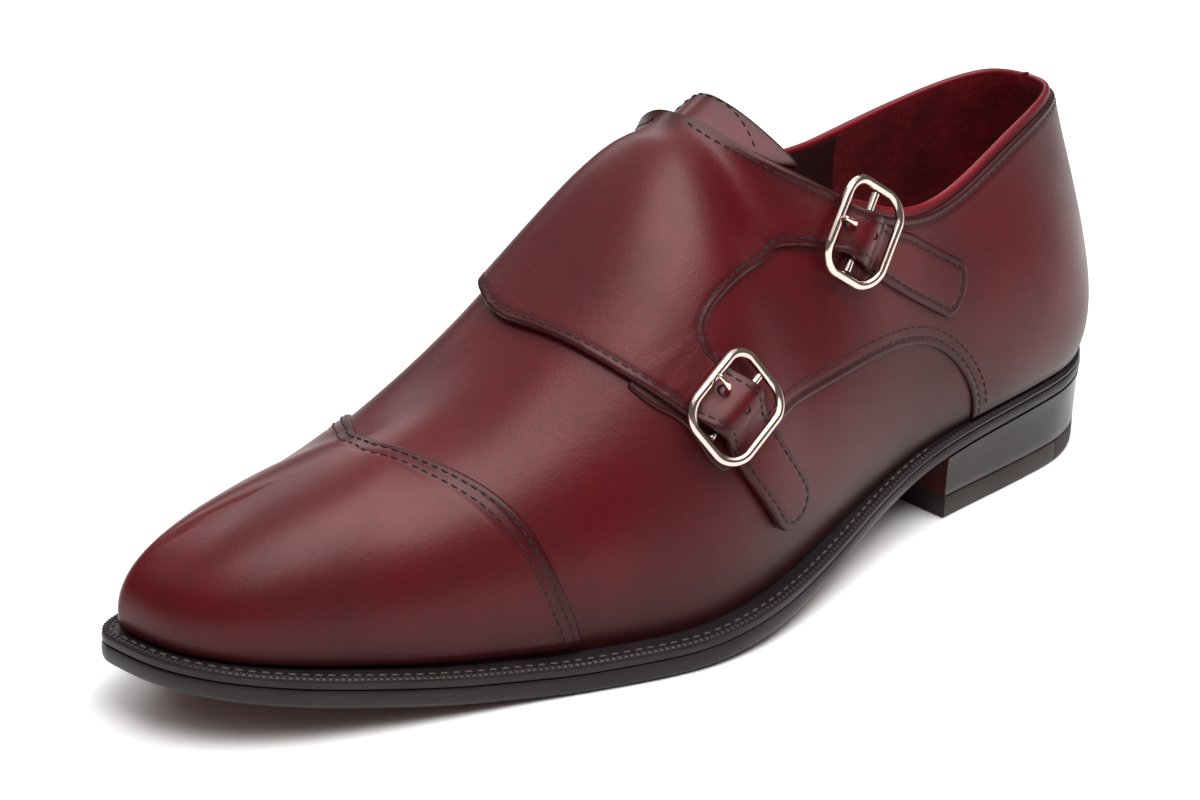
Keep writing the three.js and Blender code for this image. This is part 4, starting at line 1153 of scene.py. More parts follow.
def build_vamp():
    """The vamp and the shell under the quarters, with the lining and the collar's rolled edge."""
    columns, rows = 150, 44
    side, t = around(columns)
    v = np.linspace(0, 1, rows + 1)[None, :] * smooth(THROAT, "t", "top", t)[:, None]
    w = np.where(side[:, None] > 0, v, np.maximum(2 - v, 1.000001))
    tt = np.repeat(t[:, None], rows + 1, 1)
    out = last(tt, w).reshape(-1, 3)
    normals = last_normal(tt, w).reshape(-1, 3)
    faces = welded(out, grid_faces(2 * columns, rows + 1, close_rows=True))
    tt, w, v = tt.ravel(), w.ravel(), np.minimum(w, 2 - w).ravel()

    def slot_of(face, where):
        """Outside, rolled edge of the collar, heel lining or front lining."""
        at = tt[face[0]]
        if where == "rim":
            return 1 if at < COLLAR_END and v[face[0]] > 0.6 else 0
        if where == "in":
            return 2 if at < 0.25 else 3
        return 0

    suede, lining = colours().suede, colours().lining
    materials = [
        upper_leather(),
        binding_leather(),
        suede_lining("suede_heel_lining", suede, darker(suede, 0.35)),
        smooth_lining("smooth_lining", lining, darker(lining, 0.5)),
    ]
    # shade attribute: burnished darker near the welt, painted shade at the heel and low on the sides at the
    # waist
    values = {"rim": np.full(len(out), 9.0), "shade": patina_and_painted_shade(tt, w)}
    name, rolled = "vamp_and_lining", 1.25
    made = solid_sheet(name, out, normals, faces, WALL, materials, slot_of, values, rolled, sharp=50)
    claimed("upper")


# distances from the cap's seam of the rows that carry its edge and its two stitch channels
CAP_ROWS = (0, 0.25, 0.55, 0.9, 1.4, 1.8, 2.2, 3.4, 3.9, 4.3, 4.7, 5.6, 6.5)


def build_toe_cap():
    """The plain toe cap: rows from its seam to the toe's tip, on each side of the ridge."""
    onward = np.linspace(0, 1, 58)[1:]
    points, normals, rim, shade, faces = [], [], [], [], []
    for ws in (np.linspace(0.02, 1, 61), np.linspace(1.0, 1.98, 61)):
        seam = cross_edge(CAP_SEAM, ws[0], ws[-1], len(ws))[:, 0]
        path = last(np.linspace(seam, 1, 40), ws)
        length = np.linalg.norm(np.diff(path, axis=0), axis=-1).sum(0)[:, None]
        near = np.minimum(CAP_ROWS / length, 1)
        q = np.concatenate([near, near[:, -1:] + (1 - near[:, -1:]) * onward], 1)
        t, w, d = 1 - (1 - seam[:, None]) * (1 - q), np.repeat(ws[:, None], q.shape[1], 1), q * length
        sunk = 0.15 * sum(bump(d - c, 0.4) for c in CAP_STITCHES)
        height = 0.1 + CAP_THICK * (0.45 + 0.55 * rounding(d)) - sunk
        faces += grid_faces(*t.shape, start=sum(len(p) for p in points))
        points.append(off_last(t, w, height).reshape(-1, 3))
        normals.append(last_normal(t, w).reshape(-1, 3))
        rim.append(d.ravel())
        shade.append(patina_and_painted_shade(t, w).ravel() * 0.8)
    out, normals = np.concatenate(points), np.concatenate(normals)
    values = {"rim": np.concatenate(rim), "shade": np.concatenate(shade)}
    faces, wall, drawn_out = welded(out, faces), 0.9, 0.3
    made = solid_sheet(
        "toe_cap_leather", out, normals, faces, wall, [upper_leather()], None, values, drawn_out, sharp=55
    )
    claimed("toe_cap")


def quarter_outline():
    """The outer quarter's outline by its parts, from the back seam along the collar."""
    parts = {
        "topline": [(s, COLLAR_EDGE) for s in np.linspace(0.0, 0.405, 60)],
        "hidden": through(QUARTER_HIDDEN, 20),
        "lip": through(QUARTER_LIP, 18),
        "seam": through(OUTER_SEAM, 60)[1:],
        "foot": [(s, FOOT_EDGE) for s in np.linspace(0.31, 0.0, 40)],
        "back": [(0.0, s) for s in np.linspace(0.05, 0.95, 24)],
    }
    return {key: np.array(value, float) for key, value in parts.items()}


def flap_outline():
    """The flap's outline by its parts, with the inner quarter and both straps."""
    front_u, rear_u = strap_outline(UPPER_STRAP)
    front_l, rear_l = strap_outline(LOWER_STRAP)
    rear_outer = [(s, RIDGE_EDGE) for s in np.linspace(FLAP_REAR_OUTER, 0.499, 24)]
    parts = {
        "rear_outer": rear_outer + [(0.506, 1.0)],
        "rear_inner": [(s, 2 - RIDGE_EDGE) for s in np.linspace(0.499, 0.39, 20)],
        "collar_inner": [(s, 2 - COLLAR_EDGE) for s in np.linspace(0.375, 0.0, 56)],
        "back": [(0.0, s) for s in np.linspace(1.05, 1.95, 24)],
        "foot": [(s, 2 - FOOT_EDGE) for s in np.linspace(0.0, 0.312, 40)],
        "inner_seam": through(INNER_SEAM, 70)[::-1],
        "front": cross_edge(FLAP_FRONT, 1.826, 0.43, 110)[1:],
        "lower_front": front_l[5:],
        "lower_rear": rear_l[:-9],
        "cut": through(FLAP_CUT, 36)[::-1],
        "upper_front": front_u[6:],
        "upper_rear": rear_u[:-8],
    }
    return {key: np.array(value, float) for key, value in parts.items()}


def build_outer_quarter():
    """The outer quarter, from the back seam to its lip under the flap."""
    panel("outer_quarter", np.concatenate(list(quarter_outline().values())), quarter_height, QUARTER_THICK)


def build_flap():
    """The flap with both straps, in one piece with the inner quarter."""
    outline = np.concatenate(list(flap_outline().values()))
    peak, radius, passes = last(0.49, 1.0), 17.0, 130
    made = panel("flap_and_straps", outline, flap_height, FLAP_THICK, ease=(peak, radius, passes))
    claimed("strap_flap")


def build_tongue():
    """The tongue: under the flap, with a round end behind it. Returns the row for its stitches."""
    below = -WALL - 0.85
    across, rows, end_rows = 36, 24, 13
    k = np.linspace(-1, 1, across + 1)
    ends = []
    for step in (-0.01, 0.01):
        w = 1 + step * np.arange(95)
        p = off_last(np.full(95, TONGUE_FRONT), w, np.full(95, below))
        gone = np.concatenate([[0], np.cumsum(np.linalg.norm(np.diff(p, axis=0), axis=1))])
        ends.append(float(np.interp(TONGUE_HALF, gone, w)))
    w_front = 1 + np.abs(ends[0] - 1) * np.minimum(k, 0) + (ends[1] - 1) * np.maximum(k, 0)
    t_root, w_root = 0.502 - TONGUE_SPREAD * np.abs(k) ** 1.3, 1 + 0.012 * k
    s = np.linspace(0, 1, rows)[:, None]
    t = TONGUE_FRONT + (t_root - TONGUE_FRONT) * s
    w = w_front + (w_root - w_front) * s**1.15
    p, n = off_last(t, w, np.full(t.shape, below)), last_normal(t, w)
    heading = unit(np.array(TONGUE_HEADING, float))
    n[-1] = unit(n[-1] - heading * dot(n[-1], heading))
    reach = TONGUE_LENGTH * (1 - 0.85 * np.abs(k) ** 3)
    shares = np.sin(np.linspace(0, math.pi / 2, end_rows + 1))[1:, None, None]
    p = np.concatenate([p, p[-1] + heading * reach[:, None] * shares])
    n = np.concatenate([n, np.repeat(n[-1:], end_rows, 0)])
    # the sheet bends evenly where it leaves the last
    for _ in range(90):
        p[rows - 4 : -1] = (p[rows - 4 : -1] * 2 + p[rows - 5 : -2] + p[rows - 3 :]) / 4
        p[:, 1:-1] = (p[:, 1:-1] * 2 + p[:, :-2] + p[:, 2:]) / 4
    to_end = np.linspace(1, 0, end_rows + 1)[:, None] * TONGUE_LENGTH
    rim = np.full(p.shape[:2], 9.0)
    rim[rows - 1 :] = np.minimum(to_end, (1 - np.abs(k)) * 27)
    values = {"rim": rim.ravel(), "shade": np.full(rim.size, 0.1)}
    out, faces = p.reshape(-1, 3), grid_faces(*rim.shape)
    made = solid_sheet(
        "tongue_leather", out, n.reshape(-1, 3), faces, TONGUE_THICK, [upper_leather()], None, values
    )
    claimed("tongue")
    inset, j = 2.6, slice(2, across - 1)
    return p[rows - 1, j] + heading * np.maximum(0, reach - inset)[j, None] + n[-1, j] * 0.1


def build_back_tab():
    """The narrow tab over the top of the back seam, with a round lower end."""
    half, foot = 0.022, 0.8
    sides = np.linspace(foot, 0.985, 14)
    outline = [(half, s) for s in sides] + [(-half, s) for s in sides[::-1]]
    turn = np.linspace(math.pi, 0, 12)[1:-1]
    outline += [(half * math.cos(a), foot - 0.05 * math.sin(a)) for a in turn]
    panel("back_tab", outline, tab_height, TAB_THICK, channel=())


# ---- the sole -------------------------------------------------------------------------------


def fan(side, t, by, shares, level, ends=(16, 286)):
    """Rings from an inset outline to the middle line, at the height level(x)."""
    edge = inset_edge(side, t, by)
    x = np.clip(edge[:, 0], *ends)
    centre = np.stack([x, middle(x), 0 * x], -1)
    rings = [edge + (centre - edge) * q for q in shares]
    for p in rings:
        p[:, 2] = level(p[:, 0])
    return rings


def edge_rings(side, t, profile, low, high):
    """Rings of a sole edge's profile. Each row of it holds the inset, an offset in height and the
    share of the way from the level low(x) to the level high(x)."""
    rings = []
    for by, offset, share in profile:
        p = inset_edge(side, t, by)
        p[:, 2] = low(p[:, 0]) * (1 - share) + high(p[:, 0]) * share + offset
        rings.append(p)
    return rings


def build_outsole():
    """The outsole, with its edge trimmed round."""
    side, t = around(150)
    underside = fan(side, t, 1.6, (1, 0.8, 0.6, 0.4, 0.2, 0.08, 0), under)
    trimmed = [(1.0, 0.12, 0), (0.45, 0.5, 0), (0.1, 1.3, 0), (0, 0, 0.5)]
    trimmed += [(0.05, -1.0, 1), (0.3, -0.35, 1), (0.8, -0.05, 1)]
    rings = underside + edge_rings(side, t, trimmed, under, outsole_top)
    rings += fan(side, t, 4.0, (0, 0.5, 1), outsole_top)
    points = np.array(rings).reshape(-1, 3)
    faces = grid_faces(len(rings), len(t), close_columns=True)
    slots = [1 if i < 6 * len(t) else 0 for i in range(len(faces))]
    brown = colours().underside, hex_colour("#2a100c")
    painted = calf_leather("painted_sole_leather", *brown, grain_depth=0.0001, roughness=0.5)
    values = {"rim": np.full(len(points), 9.0), "shade": np.zeros(len(points))}
    made = make("sole", points, faces, [sole_edge_leather(), painted], slots, values, sharp=35)
    claimed("outsole")


def build_welt():
    """The welt: a flat band with a rounded edge and a groove over the outsole."""
    side, t = around(170)
    m = margin(inset_edge(side, t, 0)[:, 0])
    profile = [
        (0.75, 0.02, 0),
        (0.3, 0.35, 0),
        (0.18, 0, 0.5),
        (0.35, -0.75, 1),
        (0.8, -0.3, 1),
        (1.3, -0.12, 1),
        (m * 0.6, -0.3, 1),
        (m + 0.3, -0.1, 1),
        (m + 2.4, -0.1, 1),
        (m + 2.4, 0.02, 0),
    ]
    rings = edge_rings(side, t, profile, outsole_top, welt_top)
    faces = grid_faces(len(rings), len(t), close_rows=True, close_columns=True)
    made = make("welt_leather", np.array(rings).reshape(-1, 3), faces, [sole_edge_leather()])
    claimed("welt")


# points across the heel's front between its two corners
BREAST_POINTS = 12


def heel_ring(by, breast, level):
    """A closed ring round the heel, its last points in a slightly hollow line across the shoe."""
    n = 46
    t = sole_t(breast) * np.linspace(1, 0, n) ** 1.4
    outer, inner = inset_edge(np.ones(n), t, by), inset_edge(-np.ones(n), t[::-1], by)[1:]
    p = np.concatenate([outer, inner])
    p[:, 0] = np.minimum(p[:, 0], breast)
    q = np.linspace(0, 1, BREAST_POINTS + 2)[1:-1, None]
    front = p[-1] + (p[0] - p[-1]) * q
    front[:, 0] -= 1.6 * np.sin(math.pi * q[:, 0])
    p = np.concatenate([p, front])
    p[:, 2] = level(p[:, 0])
    return p


def lofted(name, rings, materials, slots=None, **more):
    """A closed piece from rings of points, capped at both ends."""
    points = np.array(rings)
    rows, count = points.shape[:2]
    faces = grid_faces(rows, count, close_columns=True)
    for centre, ring in enumerate((0, rows - 1), rows * count):
        faces += [(ring * count + i, ring * count + (i + 1) % count, centre) for i in range(count)]
    points = np.concatenate([points.reshape(-1, 3), points[[0, -1]].mean(1)])
    values = {"rim": np.full(len(points), 9.0), "shade": np.zeros(len(points))}
    return make(name, points, faces, materials, slots, values, **more)


def build_heel():
    """The stack of lifts, which tapers down from the outsole."""
    rings = []
    for share, by in ((0.0, 0.25), (0.22, 0.7), (0.5, 0.95), (0.8, 1.2), (0.96, 1.3), (1.0, 1.7)):

        def level(x, share=share):
            return (under(x) + 0.02) * (1 - share) + (TOP_PIECE + 0.05) * share

        rings.append(heel_ring(by, HEEL_BREAST - 0.2 * by, level))
    edge = colours().sole_edge, colours().sole_dark
    stack = waxed_edge("polished_heel_stack", *edge, lift_mm=4.1, roughness=0.24)
    brown = hex_colour("#3c1310"), hex_colour("#1e0908")
    breast = calf_leather("dyed_heel_breast", *brown, grain_depth=0.0001, roughness=0.5)
    count = len(rings[0])
    across = count - BREAST_POINTS - 1
    slots = [1 if i % count >= across else 0 for i in range((len(rings) + 1) * count)]
    made = lofted("heel_lifts", rings, [stack, breast], slots)
    claimed("heel_stack")


def build_top_piece():
    """The lowest lift: leather in front of a straight joint and rubber behind it."""
    leather = waxed_edge(
        "top_piece_leather", hex_colour("#2c2120"), hex_colour("#181110"), lift_mm=3.2, roughness=0.4
    )
    black = hex_colour("#2b2423")
    rubber = moulded_rubber("heel_rubber", black, darker(black, 0.6))
    profile = ((0, 2.2), (0.25, 1.75), (0.9, 1.5), (TOP_PIECE - 0.6, 1.3), (TOP_PIECE - 0.1, 1.55))
    joint = RUBBER_END + 0.15
    front, back = [], []
    for z, by in profile:
        p = heel_ring(by, HEEL_BREAST - 0.4, lambda x, z=z: z)
        outer, inner = (inset_edge(np.array(s), np.array(sole_t(joint)), by)[1] for s in (1.0, -1.0))
        behind = p[:, 0] < joint
        p[behind, 1] = np.clip(p[behind, 1], inner, outer)
        p[behind, 0] = joint
        front.append(p)
        p = heel_ring(by, RUBBER_END, lambda x, z=z: z)
        p[-BREAST_POINTS:, 0] = RUBBER_END
        back.append(p)
    made = lofted("top_piece_front", front, [leather], sharp=35)
    claimed("heel_top_piece_leather")
    made = lofted("top_piece_back", back, [rubber], sharp=35)
    claimed("heel_top_piece_rubber")


def build_insole():
    """The foot bed with its sock, slightly dished."""
    side, t = around(110)
    by = margin(inset_edge(side, t, 0)[:, 0]) + WALL + 0.5
    rings = []
    profile = [(1, 1.6), (0.8, 1.5), (0.5, 1.1), (0.25, 0.5), (0.08, 0.1), (0, 0.15)]
    for share, drop in profile + [(0, 3.0), (0.5, 3.0), (1, 3.0)]:
        top = INSOLE_RISE + 0.6 - drop
        rings += fan(side, t, by, (share,), lambda x, top=top: welt_top(x) + top, ends=(20, 280))
    faces = grid_faces(len(rings), len(t), close_columns=True)
    sock = smooth_lining("sock_leather", hex_colour("#4a1a1a"), hex_colour("#2a0d0e"))
    made = make("foot_bed", np.array(rings).reshape(-1, 3), faces, [sock], sharp=50)
    claimed("insole")


# ---- buckles --------------------------------------------------------------------------------
def tube(points, radius, closed, up, flat=1.0):
    """Rings of a round or slightly flat rod along a path."""
    before = np.roll(points, 1, 0) if closed else np.concatenate([points[:1], points[:-1]])
    after = np.roll(points, -1, 0) if closed else np.concatenate([points[1:], points[-1:]])
    d = unit(after - before)
    u = unit(np.cross(d, up))
    v = np.cross(u, d)
    a = np.linspace(0, 2 * math.pi, 14, endpoint=False)[None, :, None]
    r = np.asarray(radius, float).reshape(-1, 1, 1)
    return points[:, None] + r * (u[:, None] * np.cos(a) + flat * v[:, None] * np.sin(a))


def spot(f, a, c, h):
    """Points along, across and above a strap where it crosses its bar."""
    a, c, h = (np.asarray(q, float)[..., None] for q in (a, c, h))
    return f["origin"] + f["along"] * a + f["across"] * c + f["up"] * h


def build_buckle(strap, name):
    """A buckle's frame with round corners, its bar, and its prong through the strap."""
    f = strap["frame"]
    nickel = polished_nickel("polished_warm_nickel", colours().metal, darker(colours().metal, 0.75))
    hx, hy, r = FRAME_ALONG / 2 - FRAME_WIRE, FRAME_ACROSS / 2 - FRAME_WIRE, FRAME_CORNER
    a, c = [], []
    for quarter, (sx, sy) in enumerate(((1, 1), (-1, 1), (-1, -1), (1, -1))):
        angle = (quarter + np.linspace(0, 1, 12)) * math.pi / 2
        a += list(sx * (hx - r) + r * np.cos(angle))
        c += list(sy * (hy - r) + r * np.sin(angle))
    a, c = np.array(a), np.array(c)
    # each side is bowed by less than a millimetre, and the frame is curved to the foot
    a = a * (1 + 0.035 * (1 - (c / hy) ** 2))
    c = c * (1 + 0.03 * (1 - np.clip(np.abs(a) / hx, 0, 1) ** 2))
    rings = tube(spot(f, a, c, FRAME_HEIGHT - c**2 / 90), FRAME_WIRE, True, f["up"], flat=0.85)
    faces = grid_faces(len(rings), rings.shape[1], close_rows=True, close_columns=True)
    made = make(name + "_frame", rings.reshape(-1, 3), faces, [nickel], sharp=60)
    claimed("buckle_" + name + "_frame")
    k = np.linspace(-1, 1, 15) * (hy - FRAME_WIRE - 0.1)
    rings = tube(spot(f, 0 * k, k, BAR_HEIGHT + 0 * k), BAR_WIRE, False, f["up"])
    made = lofted(name + "_bar", rings, [nickel], sharp=50)
    claimed("buckle_" + name + "_bar")
    # the prong comes up through the strap's hole and lies on the frame: along, and up
    on_frame = FRAME_HEIGHT + FRAME_WIRE + PRONG_WIRE + 0.15
    path = [(-2.3, 2.8), (-3.5, 3.0), (-4.7, 4.3), (-5.9, 6.0), (-7.6, on_frame)]
    path += [(-9.2, on_frame + 0.05), (-hx - 0.9, on_frame - 0.15)]
    path = through(path, 30)
    radius = PRONG_WIRE * np.interp(np.linspace(0, 1, 30), [0, 0.6, 0.96, 1], [1, 1, 0.75, 0.35])
    rings = tube(spot(f, path[:, 0], 0 * path[:, 0], path[:, 1]), radius, False, f["across"])
    made = lofted(name + "_prong", rings, [nickel], sharp=60)
    claimed("buckle_" + name + "_prong")


def build_strap_holes():
    """The punched holes of both straps: each a sunk disc painted near black as the shade down the hole,
    inside a pressed ring with the dark burnt edge of the cut.
    """
    n, rings = 20, ((0.05, -0.5), (0.75, -0.45), (1.0, 0.02), (1.25, 0.12), (1.5, -0.3))
    a = np.linspace(0, 2 * math.pi, n, endpoint=False)
    points, faces = [], []
    for strap in (UPPER_STRAP, LOWER_STRAP):
        # the prong's own hole is wider and lies on the slope, and the next one is plain
        for along, radius, slope in ((-5.2, 1.25, 0.55), (1.2, 0.85, -0.08)):
            top = FLAP_LIFT + over_bar(along) + FLAP_THICK
            start = len(points)
            for ring, level in rings:
                da, dc = ring * radius * np.cos(a), ring * radius * np.sin(a)
                points += list(spot(strap["frame"], along + da, dc, top + level + slope * da))
            faces += [tuple(start + n - 1 - i for i in range(n))]
            faces += grid_faces(len(rings), n, close_columns=True, start=start)
            faces += [tuple(start + (len(rings) - 1) * n + i for i in range(n))]
    # near black: painted shade down each hole, and the dark burnt edge round it
    hole_shade_and_edge = calf_leather("burnt_hole_edge", hex_colour("#1c0508"), hex_colour("#0a0203"))
    make("strap_holes", np.array(points), faces, [hole_shade_and_edge])


# ---- stitching ------------------------------------------------------------------------------
def repeat_tree(name):
    """Geometry Nodes that set small rounded pieces along paths at an even pitch."""
    tree = bpy.data.node_groups.new(name, "GeometryNodeTree")
    wanted = [("Geometry", "NodeSocketGeometry", None)]
    wanted += [(key, "NodeSocketFloat", 0.002) for key in ("Pitch", "Length", "Width", "Height")]
    for key, kind, value in wanted:
        socket = tree.interface.new_socket(key, in_out="INPUT", socket_type=kind)
        if value is not None:
            socket.default_value = value
    tree.interface.new_socket("Finish", in_out="INPUT", socket_type="NodeSocketMaterial")
    tree.interface.new_socket("Geometry", in_out="OUTPUT", socket_type="NodeSocketGeometry")
    source = add(tree, "NodeGroupInput", {}).outputs
    path = add(tree, "GeometryNodeMeshToCurve", {0: source["Geometry"]})
    upright = add(tree, "GeometryNodeSetCurveNormal", {0: path.outputs[0]}, mode="Z_UP")
    pitch = {0: upright.outputs[0], "Length": source["Pitch"]}
    spots = add(tree, "GeometryNodeCurveToPoints", pitch, mode="LENGTH").outputs
    one = add(tree, "GeometryNodeMeshUVSphere", {"Segments": 7, "Rings": 5, "Radius": 0.5})
    sides = {0: source["Width"], 1: source["Height"], 2: source["Length"]}
    size = add(tree, "ShaderNodeCombineXYZ", sides)
    shaped = add(tree, "GeometryNodeTransform", {"Geometry": one.outputs[0], "Scale": size.outputs[0]})
    soft = add(tree, "GeometryNodeSetShadeSmooth", {0: shaped.outputs[0]}).outputs[0]
    along = {"Points": spots["Points"], "Instance": soft, "Rotation": spots["Rotation"]}
    placed = add(tree, "GeometryNodeInstanceOnPoints", along)
    solid = add(tree, "GeometryNodeRealizeInstances", {0: placed.outputs[0]})
    coloured = add(tree, "GeometryNodeSetMaterial", {0: solid.outputs[0], "Material": source["Finish"]})
    add(tree, "NodeGroupOutput", {0: coloured.outputs[0]})
    return tree


def repeated(name, rows, material, pitch, length, width, height):
    """One piece made of small repeated ones along rows of points in metres."""
    points, edges = [], []
    for row in rows:
        start = len(points)
        points += list(row)
        edges += [(start + i, start + i + 1) for i in range(len(row) - 1)]
    mesh = bpy.data.meshes.new(name + "_path")
    mesh.from_pydata(points, edges, [])
    carrier = bpy.data.objects.new(name + "_path", mesh)
    bpy.context.scene.collection.objects.link(carrier)
    tree = bpy.data.node_groups.get("set_along_path") or repeat_tree("set_along_path")
    modifier = carrier.modifiers.new("along", "NODES")
    modifier.node_group = tree
    values = {"Pitch": pitch, "Length": length, "Width": width, "Height": height, "Finish": material}
    for item in tree.interface.items_tree:
        if item.item_type == "SOCKET" and item.in_out == "INPUT" and item.name in values:
            modifier[item.identifier] = values[item.name]
    carrier.update_tag()
    depsgraph = bpy.context.evaluated_depsgraph_get()
    result = bpy.data.meshes.new_from_object(carrier.evaluated_get(depsgraph))
    carrier.modifiers.clear()
    bpy.data.objects.remove(carrier)
    result.name = name
    made = bpy.data.objects.new(name, result)
    bpy.context.scene.collection.objects.link(made)
    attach(made, BODY)
    return made


def seam_row(parts, names, distance, height, thick):
    """Rows of points at a distance inside the named parts of an outline, just under its surface."""
    lengths = [len(v) for v in parts.values()]
    owner = np.repeat(list(parts), lengths)
    rim, source = resampled(np.concatenate(list(parts.values())), 1.0)
    into = inward(rim)
    chosen = np.isin(owner[source], names)
    # run from the first chosen point after an unchosen one, so that the row isn't split
    if not chosen.all():
        start = int(np.argmax(chosen & ~np.roll(chosen, 1)))
        rim, into, chosen = (np.roll(v, -start, axis=0) for v in (rim, into, chosen))
    moved = shifted(rim, into, distance)
    far = distance_to(point_tree(last(rim[:, 0], rim[:, 1])), moved) > 0.9 * distance
    keep = chosen & far & inside(moved, rim)
    points = off_last(moved[:, 0], moved[:, 1], height(moved[:, 0], moved[:, 1]) + thick - 0.1)
    runs = [[]]
    for ok, q in zip(keep, points):
        if runs[-1] and (not ok or np.linalg.norm(q - runs[-1][-1]) >= 4):
            runs.append([])
        if ok:
            runs[-1].append(q)
    return [np.array(run) for run in runs if len(run) > 4]


def laid_on(name, rows):
    """Rows of points in millimetres moved onto the surface of a finished piece, in metres."""
    piece = bpy.data.objects[name].data
    tree = BVHTree.FromPolygons([v.co for v in piece.vertices], [tuple(f.vertices) for f in piece.polygons])
    proud = 0.00008
    found = [[tree.find_nearest(q)[:2] for q in to_row(row).tolist()] for row in rows]
    return [[tuple(place + normal * proud) for place, normal in row] for row in found]


def build_upper_stitching(tongue_row):
    """Every stitch of the upper, laid on its finished pieces."""
    flap, quarter = flap_outline(), quarter_outline()
    edges = ["front", "lower_front", "lower_rear", "cut", "upper_front", "upper_rear"]
    on_flap, on_quarter, on_cap = [], [], []
    for names in (edges + ["rear_outer", "rear_inner"], ["collar_inner"]):
        on_flap += seam_row(flap, names, STITCHES, flap_height, FLAP_THICK)
    for distance in (STITCHES, SECOND_STITCHES):
        on_flap += seam_row(flap, ["inner_seam"], distance, flap_height, FLAP_THICK)
        on_quarter += seam_row(quarter, ["seam"], distance, quarter_height, QUARTER_THICK)
    for part in ("topline", "lip"):
        on_quarter += seam_row(quarter, [part], STITCHES, quarter_height, QUARTER_THICK)
    seam = cross_edge(CAP_SEAM, 0.05, 1.95, 140)
    ahead = unit(np.gradient(last(seam[:, 0], seam[:, 1]), axis=0))
    toward = unit(np.cross(last_normal(seam[:, 0], seam[:, 1]), ahead))
    toward = toward * np.sign(toward[:, :1])
    for distance in CAP_STITCHES:
        moved = shifted(seam, toward, distance)
        on_cap.append(off_last(moved[:, 0], moved[:, 1], np.full(len(moved), CAP_THICK)))
    rows = laid_on("flap_and_straps", on_flap) + laid_on("outer_quarter", on_quarter)
    rows += laid_on("toe_cap_leather", on_cap) + laid_on("tongue_leather", [tongue_row])
    s, colour = sizes(), colours().thread
    thread = waxed_thread("dark_waxed_thread", colour, darker(colour, 0.55))
    repeated("upper_stitching", rows, thread, s.pitch, s.stitch, s.thread, s.thread * 0.8)


def welt_row(by, start, lift):
    """A line round the forefoot on the welt's top, in metres: from a share of the foot line on the
    outer side to the same share on the inner side, at an inset from the edge."""
    side, t = around(170)
    order = np.argsort(np.where(side > 0, t, 2 - t))
    side, t = side[order], t[order]
    p = inset_edge(side, t, by)
    p[:, 2] = welt_top(p[:, 0]) + lift
    return to_row(p[t >= start]).tolist()


def build_welt_stitching():
    """The welt's stitches in their groove, and the marks of the wheel near its edge."""
    s, colour = sizes(), colours().welt_thread
    thread = waxed_thread("pale_waxed_thread", colour, darker(colour, 0.55))
    row = welt_row(2.5, 0.36, -0.12)
    repeated("welt_stitching", [row], thread, s.welt_pitch, s.welt_stitch, s.welt_thread, s.welt_thread * 0.7)
    row, mark = welt_row(1.15, 0.3, -0.22), (0.0009, 0.0017, 0.0008)
    repeated("wheel_marks", [row], sole_edge_leather(), s.wheel_pitch, *mark)


# ---- the stage ------------------------------------------------------------------------------
def aimed(item, place, target):
    """Puts a light or camera in place, facing a point."""
    item.location = place
    item.rotation_euler = (Vector(target) - Vector(place)).to_track_quat("-Z", "Y").to_euler()
    bpy.context.scene.collection.objects.link(item)


def area_light(name, place, target, size, power):
    """A white rectangular light that faces a point."""
    data = bpy.data.lights.new(name, "AREA")
    data.shape = "RECTANGLE"
    (data.size, data.size_y), data.energy = size, power
    aimed(bpy.data.objects.new(name, data), place, target)


def build_stage():
    """A pale floor, soft light from above and behind, and the camera."""
    half = 4.0
    mesh = bpy.data.meshes.new("floor")
    corners = [(-half, -half, 0), (half, -half, 0), (half, half, 0), (-half, half, 0)]
    mesh.from_pydata(corners, [], [(0, 1, 2, 3)])
    mesh.materials.append(studio_paper("studio_paper", hex_colour("#f4f3f2"), hex_colour("#f8f7f6")))
    floor = bpy.data.objects.new("floor", mesh)
    floor.location.z = -0.0003
    bpy.context.scene.collection.objects.link(floor)
    floor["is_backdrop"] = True
    world = bpy.data.worlds.new("studio")
    world.use_nodes = True
    white, dim = (1, 1, 1, 1), 0.12
    fill(world.node_tree, world.node_tree.nodes["Background"], {0: white, 1: dim})
    bpy.context.scene.world = world
    area_light("ceiling", (0.0, 0.0, 2.6), (0.0, 0.0, 0.0), (6.0, 6.0), 90)
    area_light("overhead_softbox", (0.0, 0.45, 1.25), (0.0, 0.0, 0.05), (1.3, 1.0), 22)
    area_light("back_softbox", (-0.45, -1.15, 0.95), (0.03, 0.0, 0.05), (1.3, 0.7), 7)
    data = bpy.data.cameras.new("camera")
    data.lens, data.clip_end = sizes().lens, 20
    camera = bpy.data.objects.new("camera", data)
    aimed(camera, (0.5215, 0.5858, 0.3817), (0.012, -0.012, 0.0455))
    bpy.context.scene.camera = camera
    bpy.context.scene.view_settings.view_transform = "Standard"


# ---- the add-on -----------------------------------------------------------------------------
class BuildUpper(bpy.types.Operator):
    """Makes the vamp, lining, toe cap, outer quarter and back tab"""

    bl_idname = "shoe.build_upper"
    bl_label = "Build upper"

    def execute(self, context):
        build_vamp()
        build_toe_cap()
        build_outer_quarter()
        build_back_tab()
        return {"FINISHED"}


class BuildFlap(bpy.types.Operator):
    """Makes the flap with its straps and holes"""

    bl_idname = "shoe.build_flap"
    bl_label = "Build flap and straps"

    def execute(self, context):
        build_flap()
        build_strap_holes()
        return {"FINISHED"}


class BuildTongueAndStitching(bpy.types.Operator):
    """Makes the tongue and all the upper's stitches"""

    bl_idname = "shoe.build_tongue_and_stitching"
    bl_label = "Build tongue and stitching"

    def execute(self, context):
        build_upper_stitching(build_tongue())
        return {"FINISHED"}


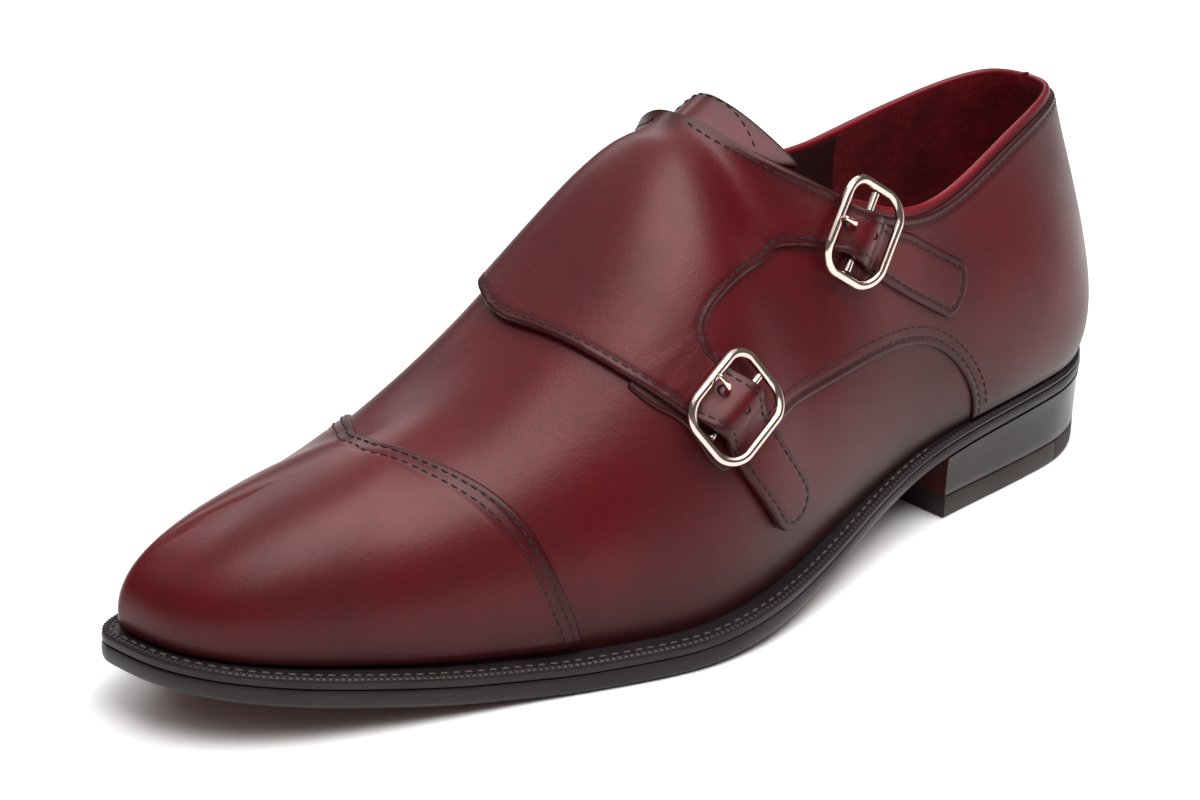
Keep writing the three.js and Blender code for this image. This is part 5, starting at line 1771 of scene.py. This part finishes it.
class BuildSole(bpy.types.Operator):
    """Makes the outsole, welt, welt stitches, heel and foot bed"""

    bl_idname = "shoe.build_sole"
    bl_label = "Build sole and heel"

    def execute(self, context):
        build_outsole()
        build_welt()
        build_welt_stitching()
        build_heel()
        build_top_piece()
        build_insole()
        return {"FINISHED"}


class BuildBuckles(bpy.types.Operator):
    """Makes both buckles"""

    bl_idname = "shoe.build_buckles"
    bl_label = "Build buckles"

    def execute(self, context):
        build_buckle(UPPER_STRAP, "upper")
        build_buckle(LOWER_STRAP, "lower")
        return {"FINISHED"}


class BuildStage(bpy.types.Operator):
    """Makes the floor, the lights and the camera"""

    bl_idname = "shoe.build_stage"
    bl_label = "Build stage"

    def execute(self, context):
        build_stage()
        return {"FINISHED"}


OPERATORS = (BuildUpper, BuildFlap, BuildTongueAndStitching, BuildSole, BuildBuckles, BuildStage)


class ShoePanel(bpy.types.Panel):
    """Lists the shoe's sizes, colours and building steps."""

    bl_idname = "VIEW3D_PT_shoe"
    bl_label = "Monk strap shoe"
    bl_space_type = "VIEW_3D"
    bl_region_type = "UI"
    bl_category = "Shoe"

    def draw(self, context):
        for group in (context.scene.shoe_sizes, context.scene.shoe_colours):
            for key in group.__annotations__:
                self.layout.prop(group, key)
        for operator in OPERATORS:
            self.layout.operator(operator.bl_idname)


CLASSES = (ShoeSizes, ShoeColours, *OPERATORS, ShoePanel)


def register():
    for kind in CLASSES:
        bpy.utils.register_class(kind)
    bpy.types.Scene.shoe_sizes = bpy.props.PointerProperty(type=ShoeSizes)
    bpy.types.Scene.shoe_colours = bpy.props.PointerProperty(type=ShoeColours)


def unregister():
    del bpy.types.Scene.shoe_colours
    del bpy.types.Scene.shoe_sizes
    for kind in reversed(CLASSES):
        bpy.utils.unregister_class(kind)


def main():
    register()
    for operator in OPERATORS:
        name = operator.bl_idname.split(".")[1]
        getattr(bpy.ops.shoe, name)()
    shoe_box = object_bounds()
    boxes = [[[float(c) for c in corner] for corner in box] for box in (CAD_BOX, shoe_box)]


if __name__ == "__main__":
    main()
